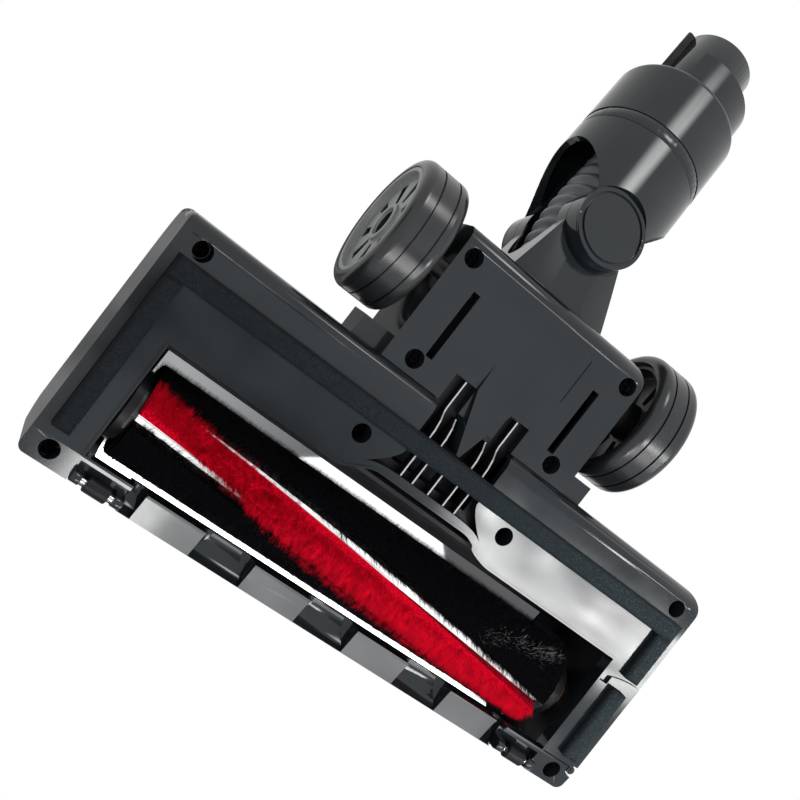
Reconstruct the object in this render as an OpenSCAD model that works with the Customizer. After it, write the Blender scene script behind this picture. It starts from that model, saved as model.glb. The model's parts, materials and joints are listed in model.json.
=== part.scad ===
// Motorised vacuum brush head standing on its wheels and rollers.
// +Z up, bumper to -Y, neck to +Y, drive end at +X, opening end door at -X.

/* [Head] */
// Width across the end walls (mm)
head_w = 250; // [240:1:270]
// Depth from bumper to rear wall (mm)
head_d = 95.4; // [94:0.2:100]
// Height of the sole above the floor (mm)
sole_z = 4; // [3.6:0.1:4.6]
// Wall of the moulded covers (mm)
wall = 2.2; // [1.8:0.1:2.6]

/* [Brush] */
// Outer radius of the bristles (mm)
brush_r = 19.7; // [18.6:0.1:20.4]
// Radius of the brush core (mm)
core_r = 13; // [11.5:0.1:14]
// Twist of the rows from end to end (degrees)
row_twist = 67.3; // [30:0.1:90]

/* [Wheels] */
// Radius of the rear wheels (mm)
wheel_r = 27.7; // [26.5:0.1:29]
// Width of the rear tyres (mm)
tyre_w = 20; // [16:0.5:22]

/* [Neck] */
// Angle of the neck above the floor (degrees)
tilt = 20.8; // [20.8:0.1:50]
// Swing of the tube about the pivot caps (degrees)
swing = 9.9; // [-30:0.1:30]
// Outer radius of the fork tube (mm)
tube_r = 27.6; // [27:0.1:29]
// Outer radius of the wand spigot (mm)
spigot_r = 15.95; // [15:0.05:17]
// Length of the spigot past its collar (mm)
spigot_len = 19.8; // [15:0.1:30]

/* [Hidden] */
$fn = 64;
// Clear air between pieces that move against each other
gap = 0.3;
// Radial clearance of a turning fit
run = 0.05;
// Radial clearance of a fixed pin
snug = 0.02;
// Overshoot of a cutting solid
over = 1;

half_w = head_w / 2;
half_d = head_d / 2;
front_y = -half_d;
rear_y = half_d;
// Rounded lower edge of the head; the sole plate ends where it turns upright
sole_r = 6;
split_z = sole_z + sole_r;
floor_top = sole_z + wall;

// Brush axis, and the hood that runs round it down to the bumper
brush_y = front_y + 29;
brush_z = 22.5;
hood_r = brush_y - front_y;
// Rear shoulder of the head
back_r = 12;
back_y = rear_y - back_r;
back_z = 32;
end_round = 7;
plan_r = 3;
corner_r = 8;
// Tangent from the hood to the rear shoulder
span_y = back_y - brush_y;
span_z = back_z - brush_z;
span = sqrt(span_y * span_y + span_z * span_z);
roof_dir = atan2(span_z, span_y) + acos((hood_r - back_r) / span);

// Front edge of the sole, a little higher than the sole itself
nose_z = sole_z + 1.4;

// Felt strips
felt_out = half_w - 4.4;
felt_in = half_w - 11.2;
felt_y1 = rear_y - 13.3;
felt_y0 = felt_y1 - 7.5;
felt_low = 0.5;

// Brush window in the sole and its flat-topped rear bulge
win_x = half_w - 19.3;
win_front = front_y + 10.65;
win_back = rear_y - 39.3;
bulge = 5.8;
bulge_flat = 20;
bulge_x = 37;
rim_w = 0.9;
rim_h = 0.5;
// Suction mouth between the bulge and the felt, with a curved horn at each end
mouth_x = 17.6;
mouth_back = felt_y0;
lip_y = mouth_back - 9.3;
horn_x = 27.7;
horn_y = mouth_back - 11.9;
horn_top = mouth_back - 1.4;
throat_x = 19.2;
// Ribs across the mouth; all but the middle one carry on behind the felt
rib_t = 0.7;
rib_gap = 0.1;
rib_stop = 2.1;
rib_x = [0, 7.4, -7.4, 12.9, -12.9];
rib_low = sole_z + 0.8;

// Screw wells of the head
well_r = 3.6;
well_wall = 1.4;
well_top = split_z + 8;
screw_r = 1.5;
screw_head_r = 3;
screw_head_h = 2.2;
seat_t = 2;
screw_len = 10;
boss_r = 3.6;
wells = [
  [half_w - 9.94, rear_y - 8.7],
  [-half_w + 9.94, rear_y - 8.7],
  [half_w - 9.1, front_y + 5.7],
  [-half_w + 9.1, front_y + 5.7],
  [34.5, felt_y0 - 5],
  [-34.5, felt_y0 - 5]
];

// Front rollers on fixed pins, each in a pocket with an ear at either end
roller_x = half_w - 29;
roller_y = front_y + 3.2;
roller_r = 3;
roller_half = 4.3;
roller_pin_r = 1.2;
ear_in = roller_half + 2;
ear_r = 2.2;
pocket_half = 9.6;
pin_half = pocket_half - 0.3;
pocket_back = front_y + 8.5;
pocket_top = split_z - 1.8;

// Coved channels between the front ramps, open to the brush: centre and width
scoops = [[0, 22.4], [46.35, 21.5], [-46.35, 21.5], [83.8, 5.6], [-83.8, 5.6]];
scoop_r = 9.5;
scoop_y = front_y + 9;
scoop_top = split_z + 1.6;
scoop_cove = 5;
sill_x = roller_x - pocket_half + 1;
sill_top = scoop_top + 1.6;

// End door at the -X end, hung on an upright pin
door_x = -half_w + 18.3;
door_front = win_front + 0.15;
pin_x = -half_w + 1.8;
pin_y = front_y + 9.6;
pin_r = 0.8;
lug_r = 1.7;
arm_x = 1.6;
door_reach = 42.3;
door_h = split_z - sole_z - gap;
pin_top = split_z + 8;

// Chamber and its end walls
liner_r = 31.5;
liner_t = 1.5;
bulk_x = win_x + 0.2;
bulk_t = 1.4;
bush_r = 6;
bush_len = 4;
shaft_r = 3;

// Brush
core_x1 = win_x - 4.7;
core_x0 = -win_x + 7.7;
row_x1 = core_x1 - 2;
row_x0 = core_x0 + 4;
row_base = core_r - 0.8;
row_steps = 28;
red_w = 7.5;
// Half of the angle that each wide black band covers
black_half = 61.5;
black_steps = 6;
low_dir = -90;
seat_clear = 0.2;
seat_ramp = 0.6;
land_step = 0.6;
hub_r = 14;
hub_t = 3;

// Motor and belt drive in the +X end
motor_y = rear_y - 18.2;
motor_z = 25;
motor_r = 12.6;
motor_x0 = 50;
motor_x1 = win_x - 7;
belt_x = bulk_x + bulk_t + 0.9;
belt_w = 2.6;
belt_t = 1.4;
big_r = 12;
small_r = 6;
belt_y = motor_y - brush_y;
belt_z = motor_z - brush_z;
belt_span = sqrt(belt_y * belt_y + belt_z * belt_z);
belt_lean = atan2(belt_z, belt_y);
belt_dir = acos((big_r - small_r) / belt_span);

// Duct from the mouth to the rear housing
duct_x = throat_x - gap;
duct_t = 1.2;
duct_floor = split_z + 3;
duct_h = 12.2;
duct_roof = duct_floor + duct_h;
duct_front = lip_y + 1.6;
duct_end = rear_y + 19;
funnel_x = horn_x + 1.3;
funnel_top = floor_top + 5;

// Rear housing
house_x = 45;
house_z = sole_z + 4.6;
house_split = house_z + 5.4;
axle_y = rear_y + 37.8;
axle_z = wheel_r;
cheek_r = 17.5;
house_rear = axle_y + cheek_r;
house_edge = 6;
house_wells = [
  [39.4, rear_y + 46.2],
  [-39.4, rear_y + 46.2],
  [34.15, rear_y + 5.9],
  [-34.15, rear_y + 5.9]
];
slot_x = 30.35;
slot_w = 3.1;
slot_y0 = rear_y + 9.2;
slot_y1 = rear_y + 37.3;
notch_x0 = 8.3;
notch_x1 = 18.1;
notch_y = rear_y + 11;
// Keel between the notches: half widths of its face and its foot
keel_x = 8.3;
keel_y = rear_y + 22.3;
keel_tip = felt_y1 + 1;
keel_tip_x = 0.7;
keel_low = sole_z + 0.5;
keel_foot = [[8.3, 22.3], [8.3, 11], [6.8, -1.7], [2.6, -12.3]];
keel_skin = 0.1;
label_x = 21.4;
label_y0 = rear_y + 26.4;
label_y1 = rear_y + 44.9;
label_deep = 0.4;
// Long grip recesses in the rear wall of the head
recess_x0 = 56;
recess_x1 = 84;
recess_r = 4;
recess_z = 33;
recess_deep = 1.2;
// Clear hood over the brush
hood_x0 = -half_w + 30;
hood_x1 = half_w - 27;
hood_back = win_back - 5.9;
hood_low = split_z + 3.5;

// Low roof of the housing, and a height above everything
// Direction from the axle of the back stop of the knuckle's swing
stop_dir = 163;
roof_ray = [cos(stop_dir), sin(stop_dir)];
roof_len = axle_y - back_y;
far_z = 80;
// Directions from the axle between which the air port opens in the barrel
port_dir0 = 144;
port_dir1 = 194;

// Knuckle
barrel_r = 16.5;
barrel_half = 27;
axle_r = 4;
arm = 44.8;
lift = 0.5;
neck_half = 13.9;
dome = 19;
dome_r = 120;
crown_r = 55;
bore_r = 16.2;
bore_side = 3.5;
pivot_r = 15.45;
boss_top = 17.5;
journal_r = 9;
ear_top = 24.5;
cap_top = 26;
pin_low = 16.4;
pin_neck_r = 6;

// Wheels
tyre_in = house_x + 5.5;
tyre_out = tyre_in + tyre_w;
rim_r = wheel_r - 4.8;
shoulder = 4;
groove = 0.8;
spokes = 9;
spoke_gap = 2.9;
hub_boss_r = 7.8;
hub_hole_r = 5.9;
hub_hole_deep = 4.6;
axle_in = barrel_half - 2.5;
axle_out = tyre_out - hub_hole_deep + 0.2;

// Fork tube and what it carries, along its own axis from the pivot
tube_in = tube_r - 2.6;
arch_s = 31.5;
arch_h = 24.6;
ring_s0 = 42.95;
ring_s1 = 48.96;
sleeve_s = 78.4;
sleeve_round = 3;
collar_r = 24;
collar_s = 94.2;
spigot_s = collar_s + spigot_len;
spigot_in = spigot_r - 2.3;
key_r = 19;
key_half = 1.2;
key_end = spigot_s - 0.8;
contact_r = 0.45;
contact_at = [spigot_r + 0.9, spigot_r + 2.2];
contact_len = 8;
hose_r = 15.2;
hose_deep = 1.5;
hose_wall = 0.9;
hose_pitch = 5.5;
hose_start = 12;
hose_end = 46;
hose_bow = 2.4;

// Centre of the overall length, so the object stands over its origin
reach = cos(swing) * cos(tilt);
tip_y = axle_y + arm * cos(tilt) - lift * sin(tilt) + spigot_s * reach
  + spigot_r * sqrt(1 - reach * reach);
mid_y = (front_y + tip_y) / 2;

// Shared placing
module head_frame() {
  translate([0, -mid_y, 0]) children();
}
module tilt_frame() {
  head_frame() translate([0, axle_y, axle_z]) rotate([tilt, 0, 0]) children();
}
module swing_frame() {
  tilt_frame() translate([0, arm, lift]) rotate([0, 0, swing]) children();
}
// A section in Y and Z drawn out along X between two stations
module along_x(x0, x1) {
  translate([x0, 0, 0]) rotate([90, 0, 90]) linear_extrude(x1 - x0) children();
}
// A turned profile (radius, station) or a rod lying along X
module turned_x(x0) {
  translate([x0, 0, 0]) rotate([0, 90, 0]) children();
}
module rod_x(x0, x1, r) {
  turned_x(x0) cylinder(h = x1 - x0, r = r);
}
module rod_y(y0, y1, r) {
  translate([0, y0, 0]) rotate([-90, 0, 0]) cylinder(h = y1 - y0, r = r);
}
module box(x0, x1, y0, y1, z0, z1) {
  translate([x0, y0, z0]) cube([x1 - x0, y1 - y0, z1 - z0]);
}
module both_sides() {
  children();
  mirror([1, 0, 0]) children();
}
module round_rect(w, d, r) {
  square([w - 2 * r, d], center = true);
  square([w, d - 2 * r], center = true);
  for (i = [-1, 1], j = [-1, 1]) translate([i * (w / 2 - r), j * (d / 2 - r)]) circle(r);
}

// Plan of the head; the rear corner on the door side is rounder
module head_plan(inset) {
  difference() {
    round_rect(head_w - 2 * inset, head_d - 2 * inset, plan_r);
    translate([-half_w + inset, rear_y - inset]) difference() {
      translate([-over, -corner_r]) square([corner_r + over, corner_r + over]);
      translate([corner_r, -corner_r]) circle(corner_r);
    }
  }
}
// Section of the head in Y and Z above the split
module head_side(inset) {
  a = hood_r - inset;
  b = back_r - inset;
  translate([brush_y, brush_z]) circle(a);
  translate([back_y, back_z]) circle(b);
  polygon([
    [front_y + inset, split_z],
    [front_y + inset, brush_z],
    [brush_y + a * cos(roof_dir), brush_z + a * sin(roof_dir)],
    [back_y + b * cos(roof_dir), back_z + b * sin(roof_dir)],
    [rear_y - inset, back_z],
    [rear_y - inset, split_z]
  ]);
}
// Ends of the head, rounded at the top
module head_ends(inset) {
  top = brush_z + hood_r;
  translate([0, top / 2]) round_rect(head_w - 2 * inset, top - 2 * inset, end_round);
}
module head_mass(inset) {
  intersection() {
    along_x(-half_w + inset, half_w - inset) head_side(inset);
    translate([0, 0, split_z]) linear_extrude(brush_z + hood_r) head_plan(inset);
    rotate([90, 0, 0]) linear_extrude(head_d + 2 * over, center = true) head_ends(inset);
  }
}
// Section of the sole in Y and Z: it rises to the nose, and the rear edge is rounded
module sole_side(inset) {
  low = sole_z + inset;
  intersection() {
    union() {
      polygon([
        [front_y + inset, split_z],
        [front_y + inset, nose_z + inset],
        [win_front - rim_w, low],
        [rear_y - sole_r, low],
        [rear_y - sole_r, split_z]
      ]);
      translate([rear_y - sole_r, split_z]) circle(sole_r - inset);
    }
    translate([front_y, 0]) square([head_d, split_z]);
  }
}
module sole_mass(inset) {
  intersection() {
    along_x(-half_w + inset, half_w - inset) sole_side(inset);
    linear_extrude(split_z) head_plan(inset);
  }
}

function bell(x) = let (t = (abs(x) - bulge_flat) / (bulge_x - bulge_flat))
  win_back + bulge * (1 + cos(180 * max(0, min(1, t)))) / 2;
function lip(x) = lip_y - (lip_y - horn_y) * pow(x / horn_x, 6);
function horn(s) = [mouth_x + (horn_x - mouth_x) * pow(s, 1.4), horn_top - (horn_top - horn_y) * s];
module window_plan(grow) {
  n = 18;
  x1 = win_x + grow;
  polygon(concat(
    [[-x1, win_front - grow], [x1, win_front - grow], [x1, win_back + grow]],
    [for (i = [n:-1:-n]) [i * bulge_x / n, bell(i * bulge_x / n) + grow]],
    [[-x1, win_back + grow]]
  ));
}
module mouth_plan() {
  n = 12;
  m = 6;
  polygon(concat(
    [for (i = [-n:n]) [i * horn_x / n, lip(i * horn_x / n)]],
    [for (i = [m - 1:-1:0]) horn(i / m)],
    [[mouth_x, mouth_back], [-mouth_x, mouth_back]],
    [for (i = [0:m - 1]) [-horn(i / m)[0], horn(i / m)[1]]]
  ));
}
// Opening the door swings in; its rear edge is an arc about the hinge pin
module door_plan(grow) {
  intersection() {
    translate([-half_w - over + grow, door_front - grow])
      square([door_x + half_w + over, door_reach + pin_r + grow]);
    translate([pin_x, pin_y]) circle(door_reach + grow, $fn = 180);
    translate([-half_w - over, front_y]) square([door_x + half_w + over + grow, head_d]);
  }
}

module sole_plate() {
  color([0.2, 0.22, 0.24]) head_frame() difference() {
    union() {
      sole_body();
      both_sides() for (i = [-1, 1]) roller_ear(i);
    }
    both_sides() translate([roller_x, roller_y, roller_r])
      rod_x(-pin_half, pin_half, roller_pin_r + snug);
  }
}
// Ear that holds one end of a roller pin
module roller_ear(side) {
  a = min(side * ear_in, side * pocket_half);
  translate([roller_x + a, roller_y, 0]) {
    box(0, pocket_half - ear_in, -ear_r, ear_r, roller_r, pocket_top + over);
    translate([0, 0, roller_r]) rod_x(0, pocket_half - ear_in, ear_r);
  }
}
module sole_body() {
  difference() {
    union() {
      difference() {
        sole_mass(0);
        difference() {
          sole_mass(wall);
          box(-half_w, half_w, front_y, win_front, 0, split_z);
        }
      }
      for (w = wells) intersection() {
        translate([w[0], w[1], sole_z + over])
          cylinder(h = well_top - sole_z - over, r = well_r + well_wall);
        union() {
          sole_mass(0);
          head_mass(wall + gap);
        }
      }
      // Wall round the window, its proud rim, and the sill over the front channels
      linear_extrude(split_z) intersection() {
        window_plan(bulk_t);
        head_plan(wall);
        translate([-half_w, win_front]) square([head_w, head_d]);
      }
      translate([0, 0, sole_z - rim_h]) linear_extrude(sole_r) window_plan(rim_w);
      box(-sill_x, sill_x, front_y + wall + gap, win_front, nose_z, sill_top);
      box(-throat_x - duct_t, throat_x + duct_t, mouth_back + duct_t + gap, rear_y - wall,
        sole_z + over, split_z);
    }
    box(-half_w, half_w, front_y, rear_y, -over, sole_z - rim_h);
    // Below the sole only the window rim stands proud
    translate([0, 0, -over]) linear_extrude(sole_z + over) difference() {
      square([head_w + 2 * over, head_d + 2 * over], center = true);
      window_plan(rim_w);
    }
    translate([0, 0, -over]) linear_extrude(split_z + 2 * over) window_plan(0);
    translate([0, 0, -over]) linear_extrude(split_z + 2 * over) mouth_plan();
    box(-throat_x, throat_x, mouth_back - over, rear_y + over, floor_top, split_z + over);
    box(-notch_x1, notch_x1, felt_y1 + 0.2, rear_y + over, -over, split_z + over);
    for (w = wells) translate([w[0], w[1], 0]) {
      translate([0, 0, sole_z - over]) cylinder(h = well_top - seat_t - sole_z + over, r = well_r);
      cylinder(h = well_top + over, r = screw_r + gap);
    }
    for (s = scoops) scoop(s[0], s[1]);
    both_sides() box(roller_x - pocket_half, roller_x + pocket_half, front_y - over, pocket_back,
      -over, pocket_top);
    translate([0, 0, -over]) linear_extrude(split_z + 2 * over) {
      door_plan(gap);
      translate([pin_x, pin_y]) circle(lug_r + 2 * gap);
      translate([-half_w - over, pin_y - lug_r - over]) square([pin_x + half_w + over, 2 * lug_r + over]);
    }
  }
}
// Channel with a rounded roof and coved sides
module scoop(x, w) {
  cove = min(scoop_cove, w / 2 - 0.1);
  intersection() {
    translate([0, scoop_y, scoop_top - scoop_r]) rod_x(x - w / 2, x + w / 2, scoop_r);
    translate([x, win_front + over, scoop_top / 2]) rotate([90, 0, 0])
      linear_extrude(win_front - front_y + 2 * over) round_rect(w, scoop_top, cove);
  }
}

module head_top_cover() {
  color([0.22, 0.24, 0.26]) head_frame() difference() {
    union() {
      difference() {
        head_mass(0);
        head_mass(wall);
        translate([0, 0, -over]) head_mass(wall);
      }
      for (w = wells) intersection() {
        translate([w[0], w[1], well_top]) cylinder(h = hood_r + brush_z, r = boss_r);
        head_mass(wall / 2);
      }
      intersection() {
        translate([pin_x, pin_y, split_z]) cylinder(h = pin_top - split_z + wall, r = lug_r + over);
        head_mass(wall / 2);
      }
    }
    for (w = wells) translate([w[0], w[1], 0]) cylinder(h = well_top + screw_len, r = screw_r + snug);
    translate([pin_x, pin_y, 0]) cylinder(h = pin_top + gap, r = pin_r + snug);
    box(hood_x0, hood_x1, front_y - over, hood_back, hood_low, brush_z + hood_r + over);
    box(-duct_x - gap, duct_x + gap, back_y, rear_y + over, split_z - over, duct_roof + gap);
    // Long grip recesses in the rear wall
    both_sides() translate([0, rear_y - recess_deep, recess_z]) rotate([-90, 0, 0])
      linear_extrude(over + recess_deep) {
      translate([recess_x0, -recess_r]) square([recess_x1 - recess_x0, 2 * recess_r]);
      translate([recess_x0, 0]) circle(recess_r);
      translate([recess_x1, 0]) circle(recess_r);
    }
  }
}
// Direction of the hood's front lower lip, seen from the brush axis
lip_dir = 225;
hood_steps = 84;
function arc_points(r, a0, a1) =
  [for (i = [0:hood_steps]) let (a = a0 + (a1 - a0) * i / hood_steps) r * [cos(a), sin(a)]];
module brush_window() {
  n = [cos(roof_dir), sin(roof_dir)];
  u = [n[1], -n[0]];
  color([0.8, 0.85, 0.9, 0.4]) head_frame() intersection() {
    along_x(hood_x0, hood_x1) translate([brush_y, brush_z])
      polygon(concat(
        arc_points(hood_r, roof_dir, lip_dir),
        arc_points(hood_r - wall, lip_dir, roof_dir),
        [(hood_r - wall) * n + span * u, hood_r * n + span * u]
      ));
    box(hood_x0, hood_x1, front_y - over, hood_back, hood_low, brush_z + hood_r + over);
  }
}

module chamber_liner() {
  color([0.12, 0.12, 0.13]) head_frame() {
    intersection() {
      translate([0, brush_y, brush_z]) difference() {
        rod_x(-bulk_x, bulk_x, liner_r + liner_t);
        rod_x(-bulk_x - over, bulk_x + over, liner_r);
      }
      head_mass(wall);
      box(-half_w, half_w, brush_y, rear_y, split_z, brush_z + hood_r);
    }
    difference() {
      union() {
        intersection() {
          both_sides() box(bulk_x, bulk_x + bulk_t, front_y, rear_y, split_z, brush_z + hood_r);
          head_mass(wall);
        }
        translate([0, brush_y, brush_z]) rod_x(-bulk_x - bulk_t - bush_len, -bulk_x, bush_r + 2);
      }
      translate([0, brush_y, brush_z]) both_sides()
        rod_x(bulk_x - over, bulk_x + bulk_t + bush_len + over, bush_r + snug);
      translate([0, motor_y, motor_z]) rod_x(bulk_x - over, bulk_x + bulk_t + over, small_r);
    }
  }
}

// Outline of the funnel over the mouth, behind the wall of the window
module funnel_plan(t) {
  difference() {
    translate([-funnel_x + t, win_back]) square([2 * (funnel_x - t), mouth_back + duct_t - win_back - t]);
    window_plan(bulk_t + gap + t);
  }
}
module airway_duct() {
  roof = duct_roof - duct_t;
  side = duct_x - duct_t;
  color([0.14, 0.15, 0.16]) head_frame() difference() {
    union() {
      translate([0, 0, floor_top]) linear_extrude(funnel_top - floor_top) funnel_plan(0);
      box(-duct_x, duct_x, duct_front, duct_end, funnel_top - duct_t, duct_roof);
    }
    translate([0, 0, floor_top - over]) linear_extrude(funnel_top - duct_t - floor_top + over)
      funnel_plan(duct_t);
    box(-side, side, duct_front + duct_t, duct_end + over, duct_floor + duct_t, roof);
    box(-side, side, duct_front + duct_t, mouth_back, floor_top, roof);
    box(-duct_x - over, duct_x + over, mouth_back + duct_t, duct_end + over, floor_top, duct_floor);
    translate([0, axle_y, axle_z]) rod_x(-half_w, half_w, barrel_r + 0.6);
  }
}
module mouth_ribs() {
  color([0.14, 0.15, 0.16]) head_frame() for (x = rib_x) {
    translate([x, 0, 0]) along_x(-rib_t / 2, rib_t / 2) polygon([
      [lip_y + rib_gap, rib_low],
      [mouth_back - rib_gap, rib_low],
      [mouth_back - rib_gap, funnel_top - duct_t - rib_gap],
      [lip_y + rib_gap, funnel_top - duct_t - rib_gap]
    ]);
    if (x != 0) translate([x, 0, 0]) along_x(-rib_t / 2, rib_t / 2)
      rear_rib(abs(x) < notch_x0 ? rear_y - rib_stop : notch_y - gap);
  }
}
// Rib behind the felt: its lower edge follows the rounded edge of the sole up into a notch
module rear_rib(end) {
  y0 = felt_y1 + gap;
  low = house_z + 0.6;
  // How far before the rear wall each bend of the lower edge lies, and its height
  bends = [[9.7, rib_low + 0.2], [5.7, rib_low + 1.6], [2.7, low - 0.6], [0.8, low]];
  intersection() {
    polygon([
      [y0, rib_low],
      for (b = bends) [rear_y - b[0], b[1]],
      [notch_y, low],
      [notch_y, duct_floor],
      [y0, duct_floor]
    ]);
    translate([y0, 0]) square([end - y0, duct_floor]);
  }
}

module felt(x0, x1, y0, y1) {
  color([0.05, 0.07, 0.09]) head_frame() box(x0, x1, y0, y1, felt_low, sole_z);
}
module felt_strip_rear() {
  felt(-felt_out, felt_out, felt_y0, felt_y1);
}
module felt_strip_left() {
  felt(felt_in, felt_out, front_y + 13.6, felt_y0);
}
module felt_strip_right() {
  felt(-felt_out, -felt_in, 5.2, felt_y0);
}
module felt_strip_door() {
  felt(-half_w + 4.9, -half_w + 11.6, front_y + 13.7, -0.9);
}

module rear_bottom_plate() {
  d = house_rear - rear_y;
  color([0.24, 0.26, 0.28]) head_frame() difference() {
    union() {
      intersection() {
        along_x(-house_x, house_x) house_side(0);
        translate([0, rear_y + d / 2, 0]) linear_extrude(house_split) house_plan(0);
        difference() {
          box(-house_x, house_x, rear_y, house_rear, 0, house_split);
          intersection() {
            along_x(-house_x + wall, house_x - wall) house_side(wall);
            translate([0, rear_y + d / 2, 0]) linear_extrude(house_split + over) house_plan(wall);
          }
        }
      }
      for (w = house_wells) intersection() {
        translate([w[0], w[1], house_z + over])
          cylinder(h = well_top - house_z - over, r = well_r + well_wall);
        union() {
          box(-house_x, house_x, rear_y, house_rear, 0, house_split);
          intersection() {
            translate([0, rear_y + d / 2, 0]) linear_extrude(well_top) house_plan(wall + gap);
            both_sides() box(barrel_half + wall + 2 * gap, house_x, rear_y + gap, house_rear, 0, well_top);
          }
        }
      }
      both_sides()
        box(notch_x0 - duct_t, notch_x1 + duct_t, rear_y, notch_y + duct_t, house_z + over, duct_floor);
      keel();
    }
    box(-duct_x - gap, duct_x + gap, rear_y - over, duct_end + gap, duct_floor, house_split + over);
    both_sides() box(notch_x0, notch_x1, rear_y - over, notch_y, 0, duct_floor + over);
    for (w = house_wells) translate([w[0], w[1], 0]) {
      cylinder(h = well_top - seat_t, r = well_r);
      cylinder(h = well_top + over, r = screw_r + gap);
    }
    both_sides() box(slot_x - slot_w / 2, slot_x + slot_w / 2, slot_y0, slot_y1, 0, house_z + wall + over);
    box(-label_x, label_x, label_y0, label_y1, 0, house_z + label_deep);
  }
}
// Keel that narrows and sinks from the housing to the felt, with sloping flanks
module keel() {
  foot = [for (p = keel_foot) [p[0], rear_y + p[1]]];
  face = house_z - (house_z - keel_low) * (keel_y - notch_y) / (keel_y - keel_tip);
  hull() {
    box(-keel_x, keel_x, keel_y - keel_skin, keel_y, house_z, duct_floor);
    box(-keel_x, keel_x, notch_y - keel_skin, notch_y, face, duct_floor);
    box(-keel_tip_x, keel_tip_x, keel_tip, keel_tip + keel_skin, keel_low, duct_floor);
    translate([0, 0, duct_floor - keel_skin]) linear_extrude(keel_skin)
      polygon(concat(foot, [for (i = [len(foot) - 1:-1:0]) [-foot[i][0], foot[i][1]]]));
  }
}
module house_side(inset) {
  r = house_edge - inset;
  translate([rear_y - over, house_z + inset]) square([house_rear - rear_y - house_edge + over, house_split]);
  translate([house_rear - house_edge, house_z + house_edge]) circle(r);
  translate([rear_y - over, house_z + house_edge]) square([house_rear - rear_y + over - inset, house_split]);
}
module house_plan(inset) {
  d = house_rear - rear_y;
  difference() {
    translate([0, -over / 2]) square([2 * (house_x - inset), d - 2 * inset + over], center = true);
    translate([-house_x + inset, d / 2 - inset]) difference() {
      translate([-over, -corner_r]) square([corner_r + over, corner_r + over]);
      translate([corner_r, -corner_r]) circle(corner_r);
    }
  }
}
// Section of the upper rear housing: cheeks round the axle, running forward over the head
module cheek_side(inset) {
  translate([axle_y, axle_z]) circle(cheek_r - inset);
  polygon([
    [back_y, house_split], [back_y, back_z + back_r - 2 - inset],
    [axle_y, axle_z + cheek_r - inset], [house_rear - inset, axle_z], [house_rear - inset, house_split]
  ]);
}
// Space the knuckle sweeps between its lower and upper stops
module sweep_side() {
  far = 70;
  circle(barrel_r + 0.6);
  polygon([[0, 0], far * [cos(-70), sin(-70)], far * [cos(0), sin(0)], far * [cos(60), sin(60)],
    far * [cos(120), sin(120)], far * roof_ray]);
}
module rear_top_cover() {
  color([0.22, 0.24, 0.26]) head_frame() difference() {
    union() {
      intersection() {
        difference() {
          along_x(-house_x, house_x) cheek_side(0);
          difference() {
            along_x(-house_x + wall, house_x - wall) cheek_side(wall);
            both_sides() box(barrel_half + gap, barrel_half + gap + wall, rear_y, house_rear, 0, far_z);
          }
        }
        translate([0, rear_y, house_split]) linear_extrude(far_z) translate([0, (house_rear - rear_y) / 2])
          union() {
            house_plan(0);
            translate([-house_x, -house_rear]) square([2 * house_x, house_rear]);
          }
      }
      // Gussets beside the housing
      both_sides() difference() {
        box(house_x - over, house_x + 12, rear_y, rear_y + 8, house_split, back_z - 2);
        translate([0, axle_y, axle_z]) rod_x(0, half_w, wheel_r + 1.2);
      }
      for (w = house_wells) intersection() {
        translate([w[0], w[1], well_top]) cylinder(h = far_z, r = boss_r);
        along_x(-house_x, house_x) cheek_side(wall / 2);
      }
      // Low roof between the cheeks, under the path of the knuckle
      intersection() {
        translate([0, axle_y, axle_z]) along_x(-barrel_half - wall, barrel_half + wall) polygon([
          (barrel_r + gap) * roof_ray, roof_len * roof_ray,
          roof_len * roof_ray - [0, wall], (barrel_r + gap) * roof_ray - [0, wall]
        ]);
        box(-house_x, house_x, back_y, house_rear, 0, far_z);
      }
    }
    along_x(-half_w, half_w) {
      head_side(0);
      translate([front_y, 0]) square([head_d, back_z]);
    }
    translate([0, axle_y, axle_z]) along_x(-barrel_half - gap, barrel_half + gap) sweep_side();
    box(-house_x + wall, -barrel_half - gap - wall, back_y, rear_y + over, 0, split_z);
    translate([0, axle_y, axle_z]) rod_x(-house_x - over, house_x + over, axle_r + snug);
    for (w = house_wells) translate([w[0], w[1], 0]) cylinder(h = well_top + screw_len, r = screw_r + snug);
  }
}

module drive_motor() {
  color([0.6, 0.61, 0.62]) head_frame() translate([0, motor_y, motor_z]) {
    rod_x(motor_x0, motor_x1, motor_r);
    rod_x(motor_x1 - over, motor_x1 + 2, motor_r / 2);
    rod_x(motor_x0 - 3, motor_x0 + over, motor_r / 2);
  }
}
module motor_pulley() {
  color([0.55, 0.56, 0.58]) head_frame() translate([0, motor_y, motor_z]) {
    rod_x(motor_x1 + 2 + gap, belt_x, shaft_r - 0.5);
    rod_x(belt_x, belt_x + belt_w, small_r);
  }
}
// Section of a belt loop round both pulleys
module belt_side(grow) {
  n = 16;
  rotate(belt_lean) polygon(concat(
    [for (i = [0:n]) let (q = belt_dir + (360 - 2 * belt_dir) * i / n) (big_r + grow) * [cos(q), sin(q)]],
    [for (i = [0:n]) let (q = belt_dir * (2 * i / n - 1))
      [belt_span + (small_r + grow) * cos(q), (small_r + grow) * sin(q)]]
  ));
}
module drive_belt() {
  color([0.08, 0.08, 0.08]) head_frame() translate([0, brush_y, brush_z])
    along_x(belt_x, belt_x + belt_w) difference() {
      belt_side(gap + belt_t);
      belt_side(gap);
    }
}

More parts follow.
